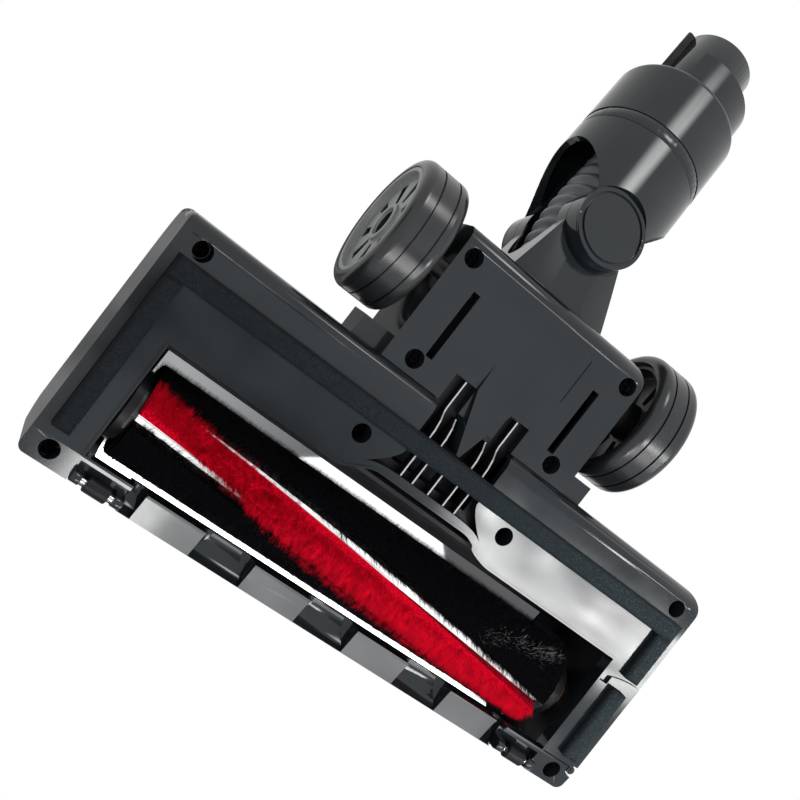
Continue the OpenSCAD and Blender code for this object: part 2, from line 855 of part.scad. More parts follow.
module screw_set(list) {
  for (w = list) translate([w[0], w[1], well_top - seat_t]) {
    difference() {
      translate([0, 0, -screw_head_h]) cylinder(h = screw_head_h, r = screw_head_r);
      for (a = [0, 90]) rotate([0, 0, a])
        translate([-2, -0.4, -screw_head_h - over]) cube([4, 0.8, over + 1.2]);
    }
    cylinder(h = screw_len, r = screw_r);
  }
}
module head_screws() {
  color([0.5, 0.5, 0.5]) head_frame() screw_set(wells);
}
module rear_screws() {
  color([0.5, 0.5, 0.5]) head_frame() screw_set(house_wells);
}

// Stub axle: carries the knuckle inside the cheek and the wheel outside
module wheel_axle_left() {
  color([0.7, 0.7, 0.7]) head_frame() translate([0, axle_y, axle_z]) rod_x(axle_in, axle_out, axle_r);
}
module wheel_axle_right() {
  color([0.7, 0.7, 0.7]) head_frame() mirror([1, 0, 0])
    translate([0, axle_y, axle_z]) rod_x(axle_in, axle_out, axle_r);
}

module roller_pin() {
  color([0.8, 0.8, 0.8]) translate([0, roller_y, roller_r])
    rod_x(roller_x - pin_half, roller_x + pin_half, roller_pin_r);
}
module roller_pin_left() {
  head_frame() roller_pin();
}
module roller_pin_right() {
  head_frame() mirror([1, 0, 0]) roller_pin();
}
module roller() {
  color([0.1, 0.1, 0.1]) translate([roller_x, roller_y, roller_r]) difference() {
    union() {
      rod_x(-roller_half, roller_half, roller_r - 0.3);
      rod_x(0.3 - roller_half, roller_half - 0.3, roller_r);
    }
    rod_x(-roller_half - over, roller_half + over, roller_pin_r + run);
  }
}
module front_roller_left() {
  head_frame() roller();
}
module front_roller_right() {
  head_frame() mirror([1, 0, 0]) roller();
}
module door_hinge_pin() {
  color([0.6, 0.6, 0.6]) head_frame()
    translate([pin_x, pin_y, sole_z]) cylinder(h = pin_top - sole_z, r = pin_r);
}

module end_door() {
  color([0.2, 0.22, 0.24]) head_frame() difference() {
    intersection() {
      union() {
        linear_extrude(sole_z + door_h) difference() {
          door_plan(0);
          translate([-half_w - over, front_y]) square([pin_x + half_w + over, pin_y - front_y + lug_r + 0.4]);
        }
        translate([pin_x, pin_y, 0]) cylinder(h = sole_z + door_h, r = lug_r);
        linear_extrude(sole_z + door_h) translate([pin_x, pin_y]) square([arm_x, door_front - pin_y + 0.1]);
      }
      union() {
        box(-half_w, door_x, front_y, rear_y, sole_z, sole_z + wall);
        difference() {
          box(-half_w, door_x, front_y, rear_y, sole_z, sole_z + door_h);
          box(
            -half_w + wall, door_x - wall,
            door_front + wall, door_reach + pin_y - wall - 2,
            sole_z, split_z
          );
        }
        translate([pin_x, pin_y, sole_z]) {
          cylinder(h = door_h, r = lug_r);
          cube([arm_x, door_front - pin_y + 0.1, door_h]);
        }
      }
      along_x(-half_w, half_w) translate([front_y, 0]) square([head_d, split_z]);
    }
    translate([pin_x, pin_y, 0]) cylinder(h = split_z + over, r = pin_r + run);
    // Finger notch at the rear inner corner
    box(door_x - 4, door_x + over, -1.2, rear_y, 0, sole_z + wall - 0.6);
  }
}

module brush_bush_left() {
  color([0.75, 0.6, 0.35]) head_frame() bush();
}
module brush_bush_right() {
  color([0.75, 0.6, 0.35]) head_frame() mirror([1, 0, 0]) bush();
}
module bush() {
  translate([0, brush_y, brush_z]) difference() {
    union() {
      rod_x(bulk_x, bulk_x + bulk_t, bush_r);
      rod_x(bulk_x - 1, bulk_x, bush_r + 1.2);
    }
    rod_x(bulk_x - 2, bulk_x + bulk_t + over, shaft_r + run);
  }
}

// Angle of the rows about the brush axis along its length; the sweep slows to one end
function row_turn(t) = row_twist * (1.48 * t - 0.48 * t * t - 0.65);
// Sections as (across, radius) points: a bulging row of pile, and a wide curved band
function row_sect(w, base, r) = [
  [-w / 2, base], [w / 2, base], [w / 2 + 0.8, (base + r) / 2], [w / 2 + 0.6, r - 0.8],
  [0, r], [-w / 2 - 0.6, r - 0.8], [-w / 2 - 0.8, (base + r) / 2]
];
function band_sect(half, base, r) = concat(
  [for (i = [0:black_steps]) let (q = half * (2 * i / black_steps - 1)) base * [sin(q), cos(q)]],
  [for (i = [0:black_steps]) let (q = half * (1 - 2 * i / black_steps)) r * [sin(q), cos(q)]]
);
module sweep_row(phase, sect) {
  m = len(sect);
  pts = [for (i = [0:row_steps]) let (t = i / row_steps, a = low_dir + phase + row_turn(t))
    for (p = sect)
      [row_x0 + (row_x1 - row_x0) * t, p[1] * cos(a) - p[0] * sin(a), p[1] * sin(a) + p[0] * cos(a)]];
  sides = [for (i = [0:row_steps - 1], j = [0:m - 1]) [i * m + j, i * m + (j + 1) % m,
    (i + 1) * m + (j + 1) % m, (i + 1) * m + j]];
  ends = [[for (j = [m - 1:-1:0]) j], [for (j = [0:m - 1]) row_steps * m + j]];
  polyhedron(pts, concat(sides, ends), convexity = 6);
}
// The core's section goes once round: from seat to white land and back, four times.
seat_r = row_base - seat_clear;
red_half = asin((red_w / 2 + seat_clear) / seat_r);
land_end = 90 - black_half - seat_clear;
seat_fan = [for (i = [1:black_steps - 1]) 2 * i / black_steps - 1];
function core_side(a) = concat(
  [for (i = seat_fan) [a + red_half * i, seat_r]],
  [[a + red_half, seat_r], [a + red_half + land_step, core_r], [a + land_end - land_step, core_r]],
  [[a + land_end, seat_r]],
  [for (i = seat_fan) [a + 90 + (90 - land_end) * i, seat_r]],
  [[a + 180 - land_end, seat_r], [a + 180 - land_end + land_step, core_r]],
  [[a + 180 - red_half - land_step, core_r], [a + 180 - red_half, seat_r]]
);
module brush_core() {
  ring = concat(core_side(0), core_side(180));
  m = len(ring);
  // Each station is its place along the core, its place along the rows, and whether it has seats.
  stations = concat(
    [[core_x0, 0, 0], [row_x0 - seat_ramp, 0, 0]],
    [for (i = [0:row_steps]) [row_x0 + (row_x1 - row_x0) * i / row_steps, i / row_steps, 1]],
    [[row_x1 + seat_ramp, 1, 0], [core_x1, 1, 0]]
  );
  k = len(stations) - 1;
  pts = [for (s = stations, p = ring) let (a = low_dir + row_turn(s[1]) - p[0], r = s[2] == 1 ? p[1] : core_r)
    [s[0], r * cos(a), r * sin(a)]];
  sides = [for (i = [0:k - 1], j = [0:m - 1]) [i * m + j, i * m + (j + 1) % m,
    (i + 1) * m + (j + 1) % m, (i + 1) * m + j]];
  ends = [[for (j = [m - 1:-1:0]) j], [for (j = [0:m - 1]) k * m + j]];
  color([0.9, 0.9, 0.9]) head_frame() translate([0, brush_y, brush_z])
    polyhedron(pts, concat(sides, ends), convexity = 4);
}
module red_plush_rows() {
  color([0.6, 0.05, 0.1]) head_frame() translate([0, brush_y, brush_z])
    for (a = [0, 180]) sweep_row(a, row_sect(red_w, row_base, brush_r));
}
module black_bristle_rows() {
  color([0.05, 0.05, 0.05]) head_frame() translate([0, brush_y, brush_z])
    for (a = [90, 270]) sweep_row(a, band_sect(black_half, row_base, brush_r));
}
module drive_hub() {
  color([0.05, 0.05, 0.06]) head_frame() translate([0, brush_y, brush_z]) {
    rod_x(core_x1, core_x1 + hub_t, hub_r);
    rod_x(core_x1, belt_x, shaft_r);
  }
}
module end_hub() {
  color([0.05, 0.05, 0.06]) head_frame() translate([0, brush_y, brush_z]) {
    rod_x(core_x0 - 4, core_x0, core_r - 1);
    rod_x(-bulk_x - bulk_t - bush_len, core_x0, shaft_r);
  }
}
module brush_pulley() {
  color([0.1, 0.1, 0.1]) head_frame() translate([0, brush_y, brush_z]) rod_x(belt_x, belt_x + belt_w, big_r);
}

module tyre_profile() {
  difference() {
    translate([rim_r + 0.1, 0]) square([wheel_r - rim_r - 0.1, tyre_w]);
    translate([wheel_r - shoulder, 0]) difference() {
      translate([0, -over]) square([shoulder + over, shoulder + over]);
      translate([0, shoulder]) circle(shoulder);
    }
    translate([wheel_r - shoulder, tyre_w]) difference() {
      translate([0, -shoulder]) square([shoulder + over, shoulder + over]);
      translate([0, -shoulder]) circle(shoulder);
    }
    for (s = [0.295, 0.64])
      translate([wheel_r - groove, tyre_w * s - groove / 2]) square([over + groove, groove]);
  }
}
module tyre() {
  translate([0, axle_y, axle_z]) turned_x(tyre_in) rotate_extrude() tyre_profile();
}
module hub() {
  translate([0, axle_y, axle_z]) difference() {
    union() {
      difference() {
        rod_x(tyre_in + 2, tyre_out - 0.2, rim_r);
        rod_x(tyre_out - 3, tyre_out, rim_r - 1.8);
        rod_x(tyre_in + 2 - over, tyre_in + 9, rim_r - 1.8);
      }
      rod_x(tyre_in, tyre_out - 1.6, hub_boss_r);
    }
    for (i = [0:spokes - 1]) rotate([(i + 0.5) * 360 / spokes, 0, 0]) translate([tyre_in, 0, 0])
      intersection() {
        difference() {
          rod_x(0, tyre_w, rim_r - 4);
          rod_x(-over, tyre_w + over, hub_boss_r + 1.6);
        }
        along_x(0, tyre_w) polygon([[0, 0], [-spoke_gap, rim_r], [spoke_gap, rim_r]]);
      }
    rod_x(tyre_in - over, tyre_out, axle_r + run);
    rod_x(tyre_out - hub_hole_deep, tyre_out, hub_hole_r);
  }
}
module hub_screw() {
  translate([0, axle_y, axle_z]) {
    rod_x(axle_out + 0.1, axle_out + 1.8, hub_hole_r - 1.1);
  }
}
module wheel_tyre_left() {
  color([0.15, 0.16, 0.17]) head_frame() tyre();
}
module wheel_hub_left() {
  color([0.2, 0.21, 0.22]) head_frame() hub();
}
module wheel_screw_left() {
  color([0.5, 0.5, 0.5]) head_frame() hub_screw();
}
module wheel_tyre_right() {
  color([0.15, 0.16, 0.17]) head_frame() mirror([1, 0, 0]) tyre();
}
module wheel_hub_right() {
  color([0.2, 0.21, 0.22]) head_frame() mirror([1, 0, 0]) hub();
}
module wheel_screw_right() {
  color([0.5, 0.5, 0.5]) head_frame() mirror([1, 0, 0]) hub_screw();
}

// Knuckle, drawn along its own axis from the wheel axle
module knuckle_plan() {
  polygon([[-barrel_half, 0], [barrel_half, 0], [neck_half, arm - 2], [-neck_half, arm - 2]]);
  translate([0, arm]) circle(pivot_r);
}
module knuckle() {
  color([0.22, 0.24, 0.26]) tilt_frame() difference() {
    union() {
      intersection() {
        linear_extrude(2 * dome, center = true) knuckle_plan();
        along_x(-barrel_half, barrel_half) intersection() {
          translate([26, dome - dome_r]) circle(dome_r, $fn = 200);
          translate([26, dome_r - dome]) circle(dome_r, $fn = 200);
          translate([0, -dome]) square([arm + pivot_r, 2 * dome]);
        }
        translate([0, 0, dome - crown_r]) rod_y(-over, arm + 2 * pivot_r, crown_r);
        translate([0, 0, crown_r - dome]) rod_y(-over, arm + 2 * pivot_r, crown_r);
        translate([0, 0, lift]) box(-barrel_half, barrel_half, -over, arm + pivot_r, -dome, dome);
      }
      rod_x(-barrel_half, barrel_half, barrel_r);
      translate([0, arm, lift - boss_top]) cylinder(h = 2 * boss_top, r = pivot_r);
    }
    // Flat seats that the fork ears turn over
    translate([0, arm, lift]) for (i = [0, 180]) rotate([0, i, 0])
      translate([0, 0, boss_top]) cylinder(h = dome, r = pivot_r + 1.2);
    translate([0, 0, lift]) rod_y(hose_start - 6, arm + 2 * pivot_r, bore_r);
    translate([bore_side, 0, lift]) rod_y(22, arm + 2 * pivot_r, bore_r);
    translate([-bore_side, 0, lift]) rod_y(22, arm + 2 * pivot_r, bore_r);
    // Inside of the barrel and its air port
    intersection() {
      rod_x(-barrel_half + 3, barrel_half - 3, barrel_r - 2.2);
      box(-barrel_half, barrel_half, -barrel_r, hose_start, -barrel_r, barrel_r);
    }
    along_x(-bore_r, bore_r) polygon([
      [0, 0],
      2 * barrel_r * [cos(port_dir0), sin(port_dir0)],
      2 * barrel_r * [cos(port_dir1), sin(port_dir1)]
    ]);
    rod_x(-barrel_half - over, barrel_half + over, axle_r + run);
    translate([0, arm, lift - dome]) cylinder(h = 2 * dome, r = journal_r + run);
  }
}

// Hose centre line: straight out of the knuckle, then along the fork tube, bowed to one side
function hose_at(t) = let (
    p0 = [0, hose_start],
    p1 = [0, arm],
    p2 = [-sin(swing) * hose_end, arm + cos(swing) * hose_end],
    a = p0 + (p1 - p0) * t,
    b = p1 + (p2 - p1) * t,
    c = a + (b - a) * t)
  [c[0] + hose_bow * (1 - cos(360 * t)) / 2, c[1]];
hose_len = arm - hose_start + hose_end;
hose_waves = round(hose_len / hose_pitch);
module corrugated_hose() {
  per = 4;
  n = hose_waves * per;
  m = 20;
  function dir(i) = let (d = hose_at(min(1, (i + 0.5) / n)) - hose_at(max(0, (i - 0.5) / n))) d / norm(d);
  function rad(i) = hose_r - hose_deep * (1 - cos(360 * i / per)) / 2;
  function ring(i, r) = let (c = hose_at(i / n), d = dir(i)) [for (j = [0:m - 1]) let (q = 360 * j / m)
    [c[0] + r * cos(q) * d[1], c[1] - r * cos(q) * d[0], r * sin(q)]];
  pts = concat([for (i = [0:n]) each ring(i, rad(i))], [for (i = [0:n]) each ring(i, rad(i) - hose_wall)]);
  k = (n + 1) * m;
  skin = [for (i = [0:n - 1], j = [0:m - 1]) [i * m + j, i * m + (j + 1) % m,
    (i + 1) * m + (j + 1) % m, (i + 1) * m + j]];
  liner = [for (f = skin) [for (v = [3:-1:0]) f[v] + k]];
  start = [for (j = [0:m - 1]) [j, j + k, (j + 1) % m + k, (j + 1) % m]];
  stop = [for (j = [0:m - 1]) [n * m + j, n * m + (j + 1) % m, n * m + (j + 1) % m + k, n * m + j + k]];
  color([0.3, 0.31, 0.32]) tilt_frame() translate([0, 0, lift])
    polyhedron(pts, concat(skin, liner, start, stop), convexity = 8);
}
module hose_cuff_lower() {
  color([0.15, 0.15, 0.16]) tilt_frame() translate([0, 0, lift]) difference() {
    rod_y(hose_start - 6, hose_start - gap, bore_r - snug);
    rod_y(hose_start - 6 - over, hose_start, hose_r - hose_deep - hose_wall);
  }
}
module hose_cuff_upper() {
  color([0.15, 0.15, 0.16]) swing_frame() difference() {
    rod_y(hose_end + gap, hose_end + 5, tube_in - snug);
    rod_y(hose_end, hose_end + 6, spigot_in);
  }
}

module shell_y(s0, s1, r_out, r_in) {
  difference() {
    rod_y(s0, s1, r_out);
    rod_y(s0 - over, s1 + over, r_in);
  }
}
// Oval side arches, seen along X
module arch() {
  along_x(-2 * tube_r, 2 * tube_r) intersection() {
    polygon([for (i = [0:48]) [arch_s * cos(i * 7.5), arch_h * sin(i * 7.5)]]);
    translate([-arch_s, -arch_h]) square([2 * arch_s, 2 * arch_h]);
  }
}
module fork_tube() {
  color([0.22, 0.24, 0.26]) swing_frame() difference() {
    union() {
      difference() {
        shell_y(0, ring_s0, tube_r, tube_in);
        arch();
      }
      shell_y(ring_s0 - over, ring_s1, tube_r - 1.2, tube_in);
      for (i = [0, 180]) rotate([0, i, 0]) {
        translate([0, 0, boss_top + gap]) cylinder(h = ear_top - boss_top - gap, r = pivot_r);
        intersection() {
          box(-12.5, 12.5, 4, arch_s, boss_top + 2.4, ear_top + 0.4);
          rod_y(0, ring_s0, tube_r - 0.2);
        }
      }
    }
    // Flats that the caps sit on
    for (i = [0, 180]) rotate([0, i, 0]) {
      translate([0, 0, ear_top]) cylinder(h = tube_r, r = pivot_r + 0.8);
      translate([0, 0, boss_top]) cylinder(h = tube_r, r = pin_neck_r + snug);
    }
  }
}
module accent_ring() {
  color([0.28, 0.3, 0.32]) swing_frame()
    shell_y(ring_s0 + groove / 2, ring_s1 - groove / 2, tube_r - 0.15, tube_r - 1.2);
}
module upper_sleeve() {
  color([0.22, 0.24, 0.26]) swing_frame() difference() {
    union() {
      rod_y(ring_s1, sleeve_s - sleeve_round, tube_r);
      rod_y(ring_s1, sleeve_s, tube_r - sleeve_round);
      translate([0, sleeve_s - sleeve_round, 0]) rotate([-90, 0, 0]) rotate_extrude()
        intersection() {
          translate([tube_r - sleeve_round, 0]) circle(sleeve_round);
          square([tube_r, sleeve_round]);
        }
      // Stepped collar, open round the contact rib
      difference() {
        rod_y(sleeve_s - over, collar_s, collar_r);
        translate([0, sleeve_s, 0]) rotate([-90, 0, 0]) linear_extrude(collar_s)
          polygon([[0, 0], 2 * collar_r * [cos(55), sin(55)], 2 * collar_r * [cos(55), -sin(55)]]);
      }
    }
    rod_y(ring_s1 - over, sleeve_s - 2.6, tube_in);
    rod_y(ring_s1, collar_s + over, spigot_r + snug);
  }
}
module wand_spigot() {
  color([0.22, 0.24, 0.26]) swing_frame() shell_y(hose_end + 5.2, spigot_s, spigot_r, spigot_in);
}
module contact_rib() {
  color([0.2, 0.21, 0.22]) swing_frame() difference() {
    union() {
      box(spigot_r - over, key_r - key_half, sleeve_s + 0.2, key_end, -key_half, key_half);
      translate([key_r - key_half, 0, 0]) rod_y(sleeve_s + 0.2, key_end, key_half);
    }
    rod_y(sleeve_s - over, spigot_s + over, spigot_r + snug);
    for (r = contact_at) translate([r, 0, 0]) rod_y(key_end - contact_len, spigot_s, contact_r + snug);
  }
}
module contact_pins() {
  color([0.8, 0.7, 0.4]) swing_frame()
    for (r = contact_at) translate([r, 0, 0]) rod_y(key_end - contact_len, key_end + gap, contact_r);
}
module pivot_pin() {
  translate([0, 0, pin_low]) cylinder(h = boss_top + gap - pin_low, r = journal_r);
  translate([0, 0, boss_top]) cylinder(h = ear_top - boss_top - 0.2, r = pin_neck_r);
}
module pivot_cap() {
  difference() {
    translate([0, 0, ear_top]) cylinder(h = cap_top - ear_top, r = pivot_r);
    translate([0, 0, cap_top - 0.9]) difference() {
      cylinder(h = over, r = 13.9);
      translate([0, 0, -over]) cylinder(h = 3 * over, r = 12.8);
    }
  }
}
module pivot_pin_upper() {
  color([0.4, 0.4, 0.42]) swing_frame() pivot_pin();
}
module pivot_pin_lower() {
  color([0.4, 0.4, 0.42]) swing_frame() rotate([0, 180, 0]) pivot_pin();
}
module pivot_cap_upper() {
  color([0.22, 0.24, 0.26]) swing_frame() pivot_cap();
}
module pivot_cap_lower() {
  color([0.22, 0.24, 0.26]) swing_frame() rotate([0, 180, 0]) pivot_cap();
}

sole_plate();
head_top_cover();
brush_window();
chamber_liner();
airway_duct();
mouth_ribs();
felt_strip_rear();
felt_strip_left();
felt_strip_right();
rear_bottom_plate();
rear_top_cover();
drive_motor();
drive_belt();
head_screws();
rear_screws();
wheel_axle_left();
wheel_axle_right();
roller_pin_left();
roller_pin_right();
door_hinge_pin();
brush_bush_left();
brush_bush_right();
brush_core();
red_plush_rows();
black_bristle_rows();
drive_hub();
end_hub();
brush_pulley();
motor_pulley();
front_roller_left();
front_roller_right();
wheel_tyre_left();
wheel_hub_left();
wheel_screw_left();
wheel_tyre_right();
wheel_hub_right();
wheel_screw_right();
end_door();
felt_strip_door();
knuckle();
hose_cuff_lower();
corrugated_hose();
hose_cuff_upper();
fork_tube();
accent_ring();
upper_sleeve();
wand_spigot();
contact_rib();
contact_pins();
pivot_pin_lower();
pivot_pin_upper();
pivot_cap_lower();
pivot_cap_upper();
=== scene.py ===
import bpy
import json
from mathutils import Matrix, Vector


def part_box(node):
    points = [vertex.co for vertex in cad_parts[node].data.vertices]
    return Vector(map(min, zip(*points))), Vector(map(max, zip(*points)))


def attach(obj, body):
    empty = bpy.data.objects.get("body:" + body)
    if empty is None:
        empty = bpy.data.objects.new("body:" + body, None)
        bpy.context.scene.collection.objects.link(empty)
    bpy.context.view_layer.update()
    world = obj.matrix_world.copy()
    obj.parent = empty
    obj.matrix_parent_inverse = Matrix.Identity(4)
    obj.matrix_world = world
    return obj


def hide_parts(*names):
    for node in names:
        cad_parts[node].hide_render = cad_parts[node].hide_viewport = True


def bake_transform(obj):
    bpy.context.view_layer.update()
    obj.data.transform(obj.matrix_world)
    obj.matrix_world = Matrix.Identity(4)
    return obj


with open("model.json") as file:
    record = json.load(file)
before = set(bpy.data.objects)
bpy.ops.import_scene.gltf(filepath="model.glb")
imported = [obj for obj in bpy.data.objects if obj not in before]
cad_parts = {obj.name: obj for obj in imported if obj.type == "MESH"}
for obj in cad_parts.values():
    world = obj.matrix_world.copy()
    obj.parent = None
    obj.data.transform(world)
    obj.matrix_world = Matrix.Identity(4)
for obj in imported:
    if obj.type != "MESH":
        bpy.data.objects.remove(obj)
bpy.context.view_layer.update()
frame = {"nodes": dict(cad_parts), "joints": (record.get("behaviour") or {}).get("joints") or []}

import json
import math

import bmesh
import bpy
import numpy as np
from bpy.props import FloatProperty, FloatVectorProperty, IntProperty, PointerProperty
from bpy.types import Operator, Panel, PropertyGroup
from mathutils import Matrix, Vector, noise

bl_info = {
    "name": "Vacuum brush head",
    "version": (1, 0, 0),
    "blender": (4, 5, 0),
    "location": "View3D > Sidebar > Brush Head",
    "description": "Dresses the packed brush head: gloss shells, brush, felt, wheels and ribbed hose",
    "category": "Object",
}

MM = 0.001
NODES = frame["nodes"]
JOINTS = {j["name"]: j for j in frame["joints"]}
AXLE = Vector(JOINTS["neck_tilt"]["pos_m"])
PIVOT = Vector(JOINTS["neck_swing"]["pos_m"])
BRUSH = Vector(JOINTS["brush_spin"]["pos_m"])


BRUSH_AHEAD = 18.7  # the brush lies this far in front of the middle of the head


def head(x, y, z):
    """A point given in millimetres from the middle of the head, on the floor."""
    return Vector((x, y + BRUSH_AHEAD, z)) * MM + Vector((0, BRUSH.y, 0))


# Colours are linear
class ShellLooks(PropertyGroup):
    shell: FloatVectorProperty(
        name="Shell", description="Colour of the gloss covers", subtype="COLOR", default=(0.0058, 0.0076, 0.0088)
    )
    sole: FloatVectorProperty(
        name="Sole", description="Colour of the sole plate", subtype="COLOR", default=(0.0052, 0.007, 0.0084)
    )
    gloss: FloatProperty(name="Roughness", description="Roughness of the covers", default=0.1, min=0.02, max=1)
    edge: FloatProperty(
        name="Edge round", description="Rounding of moulded edges", default=0.35 * MM, min=0, unit="LENGTH"
    )
    hood: FloatVectorProperty(
        name="Hood", description="Tint of the clear hood", subtype="COLOR", default=(0.93, 0.95, 0.97)
    )


class BrushSizes(PropertyGroup):
    reach: FloatProperty(
        name="Bristle reach", description="Radius to the bristle tips", default=19.6 * MM, unit="LENGTH"
    )
    core: FloatProperty(name="Core radius", description="Radius of the core", default=13 * MM, unit="LENGTH")
    start: FloatProperty(name="Rows start", description="Station of the free end", default=-94 * MM, unit="LENGTH")
    stop: FloatProperty(name="Rows stop", description="Station of the driven end", default=99 * MM, unit="LENGTH")
    twist: FloatProperty(
        name="Twist", description="Turn of the rows from end to end", default=math.radians(67.3), subtype="ANGLE"
    )
    plush_width: FloatProperty(name="Plush width", description="Width of a red row", default=7.5 * MM, unit="LENGTH")
    band_half: FloatProperty(
        name="Bristle band", description="Half the angle of a black band", default=math.radians(61.5), subtype="ANGLE"
    )
    plush_count: IntProperty(name="Plush fibres", description="Fibres in each red row", default=44000, min=100)
    bristle_count: IntProperty(name="Bristles", description="Bristles in each black band", default=46000, min=100)
    red: FloatVectorProperty(
        name="Plush colour", description="Colour of the red pile", subtype="COLOR", default=(0.5, 0.0015, 0.014)
    )
    black: FloatVectorProperty(
        name="Bristle colour", description="Colour of the stiff bristles", subtype="COLOR", default=(0.0022, 0.0022, 0.0028)
    )


class HoseSizes(PropertyGroup):
    radius: FloatProperty(name="Crest radius", description="Radius over the ribs", default=15.2 * MM, unit="LENGTH")
    depth: FloatProperty(name="Rib depth", description="Depth of the ribs", default=1.7 * MM, unit="LENGTH")
    waves: IntProperty(name="Ribs", description="Number of ribs", default=14, min=4)
    bow: FloatProperty(name="Bow", description="Sideways bow", default=2.4 * MM, unit="LENGTH")


class StageLooks(PropertyGroup):
    floor: FloatVectorProperty(
        name="Floor", description="Colour of the floor", subtype="COLOR", default=(0.86, 0.86, 0.86)
    )
    lens: FloatProperty(name="Lens", description="Focal length in millimetres", default=48.31)


# ---------------------------------------------------------------- materials
class Finish:
    """A material with one Principled shader and the nodes that feed it."""

    def __init__(self, name, colour, rough, **sockets):
        self.mat = bpy.data.materials.new(name)
        self.mat.use_nodes = True
        self.tree = self.mat.node_tree
        self.shader = self.tree.nodes["Principled BSDF"]
        self.out = self.tree.nodes["Material Output"]
        self.set("Base Color", (*colour, 1))
        self.set("Roughness", rough)
        for key, value in sockets.items():
            self.set(key.replace("_", " "), value)
        self.height = None
        self.coords = None

    def set(self, socket, value):
        self.shader.inputs[socket].default_value = value

    def node(self, kind, **values):
        n = self.tree.nodes.new(kind)
        for key, value in values.items():
            if key in n.inputs:
                n.inputs[key].default_value = value
            else:
                setattr(n, key, value)
        return n

    def link(self, a, b):
        self.tree.links.new(a, b)

    def place(self):
        if self.coords is None:
            self.coords = self.node("ShaderNodeTexCoord").outputs["Object"]
        return self.coords

    def noise(self, scale, detail=3, rough=0.5, stretch=None):
        n = self.node("ShaderNodeTexNoise", Scale=scale, Detail=detail, Roughness=rough)
        at = self.place()
        if stretch:
            m = self.node("ShaderNodeMapping")
            m.inputs["Scale"].default_value = stretch
            self.link(at, m.inputs["Vector"])
            at = m.outputs["Vector"]
        self.link(at, n.inputs["Vector"])
        return n.outputs["Fac"]

    def spread(self, value, low, high, a=0.35, b=0.65):
        m = self.node("ShaderNodeMapRange")
        m.inputs["From Min"].default_value = a
        m.inputs["From Max"].default_value = b
        m.inputs["To Min"].default_value = low
        m.inputs["To Max"].default_value = high
        self.link(value, m.inputs["Value"])
        return m.outputs["Result"]

    def rough_from(self, value, low, high):
        self.link(self.spread(value, low, high), self.shader.inputs["Roughness"])
        return self

    def colour_from(self, value, stops):
        ramp = self.node("ShaderNodeValToRGB")
        ramp.color_ramp.elements[0].position, ramp.color_ramp.elements[1].position = stops[0][0], stops[-1][0]
        ramp.color_ramp.elements[0].color = (*stops[0][1], 1)
        ramp.color_ramp.elements[1].color = (*stops[-1][1], 1)
        for place, colour in stops[1:-1]:
            e = ramp.color_ramp.elements.new(place)
            e.color = (*colour, 1)
        self.link(value, ramp.inputs["Fac"])
        self.link(ramp.outputs["Color"], self.shader.inputs["Base Color"])
        return self

    def bump(self, value, strength, distance):
        b = self.node("ShaderNodeBump", Strength=strength, Distance=distance)
        self.link(value, b.inputs["Height"])
        if self.height is not None:
            self.link(self.height, b.inputs["Normal"])
        self.height = b.outputs["Normal"]
        self.link(self.height, self.shader.inputs["Normal"])
        return self


def shade(c, k):
    return tuple(min(1, v * k) for v in c)


def plastic(name, colour, rough, flow=6, flow_bump=0.00003, ior=1.5):
    """Moulded plastic: a slow waviness of the mould, faint rub marks and a little tone change."""
    f = Finish(name, colour, rough, IOR=ior)
    slow = f.noise(flow, 2)
    f.bump(slow, 0.25, flow_bump)
    f.bump(f.noise(900, 2), 0.04, 0.00002)
    f.rough_from(f.noise(38, 4, 0.6), rough * 0.75, rough * 1.35)
    f.colour_from(f.noise(55, 3), [(0.3, shade(colour, 0.85)), (0.7, shade(colour, 1.15))])
    return f.mat


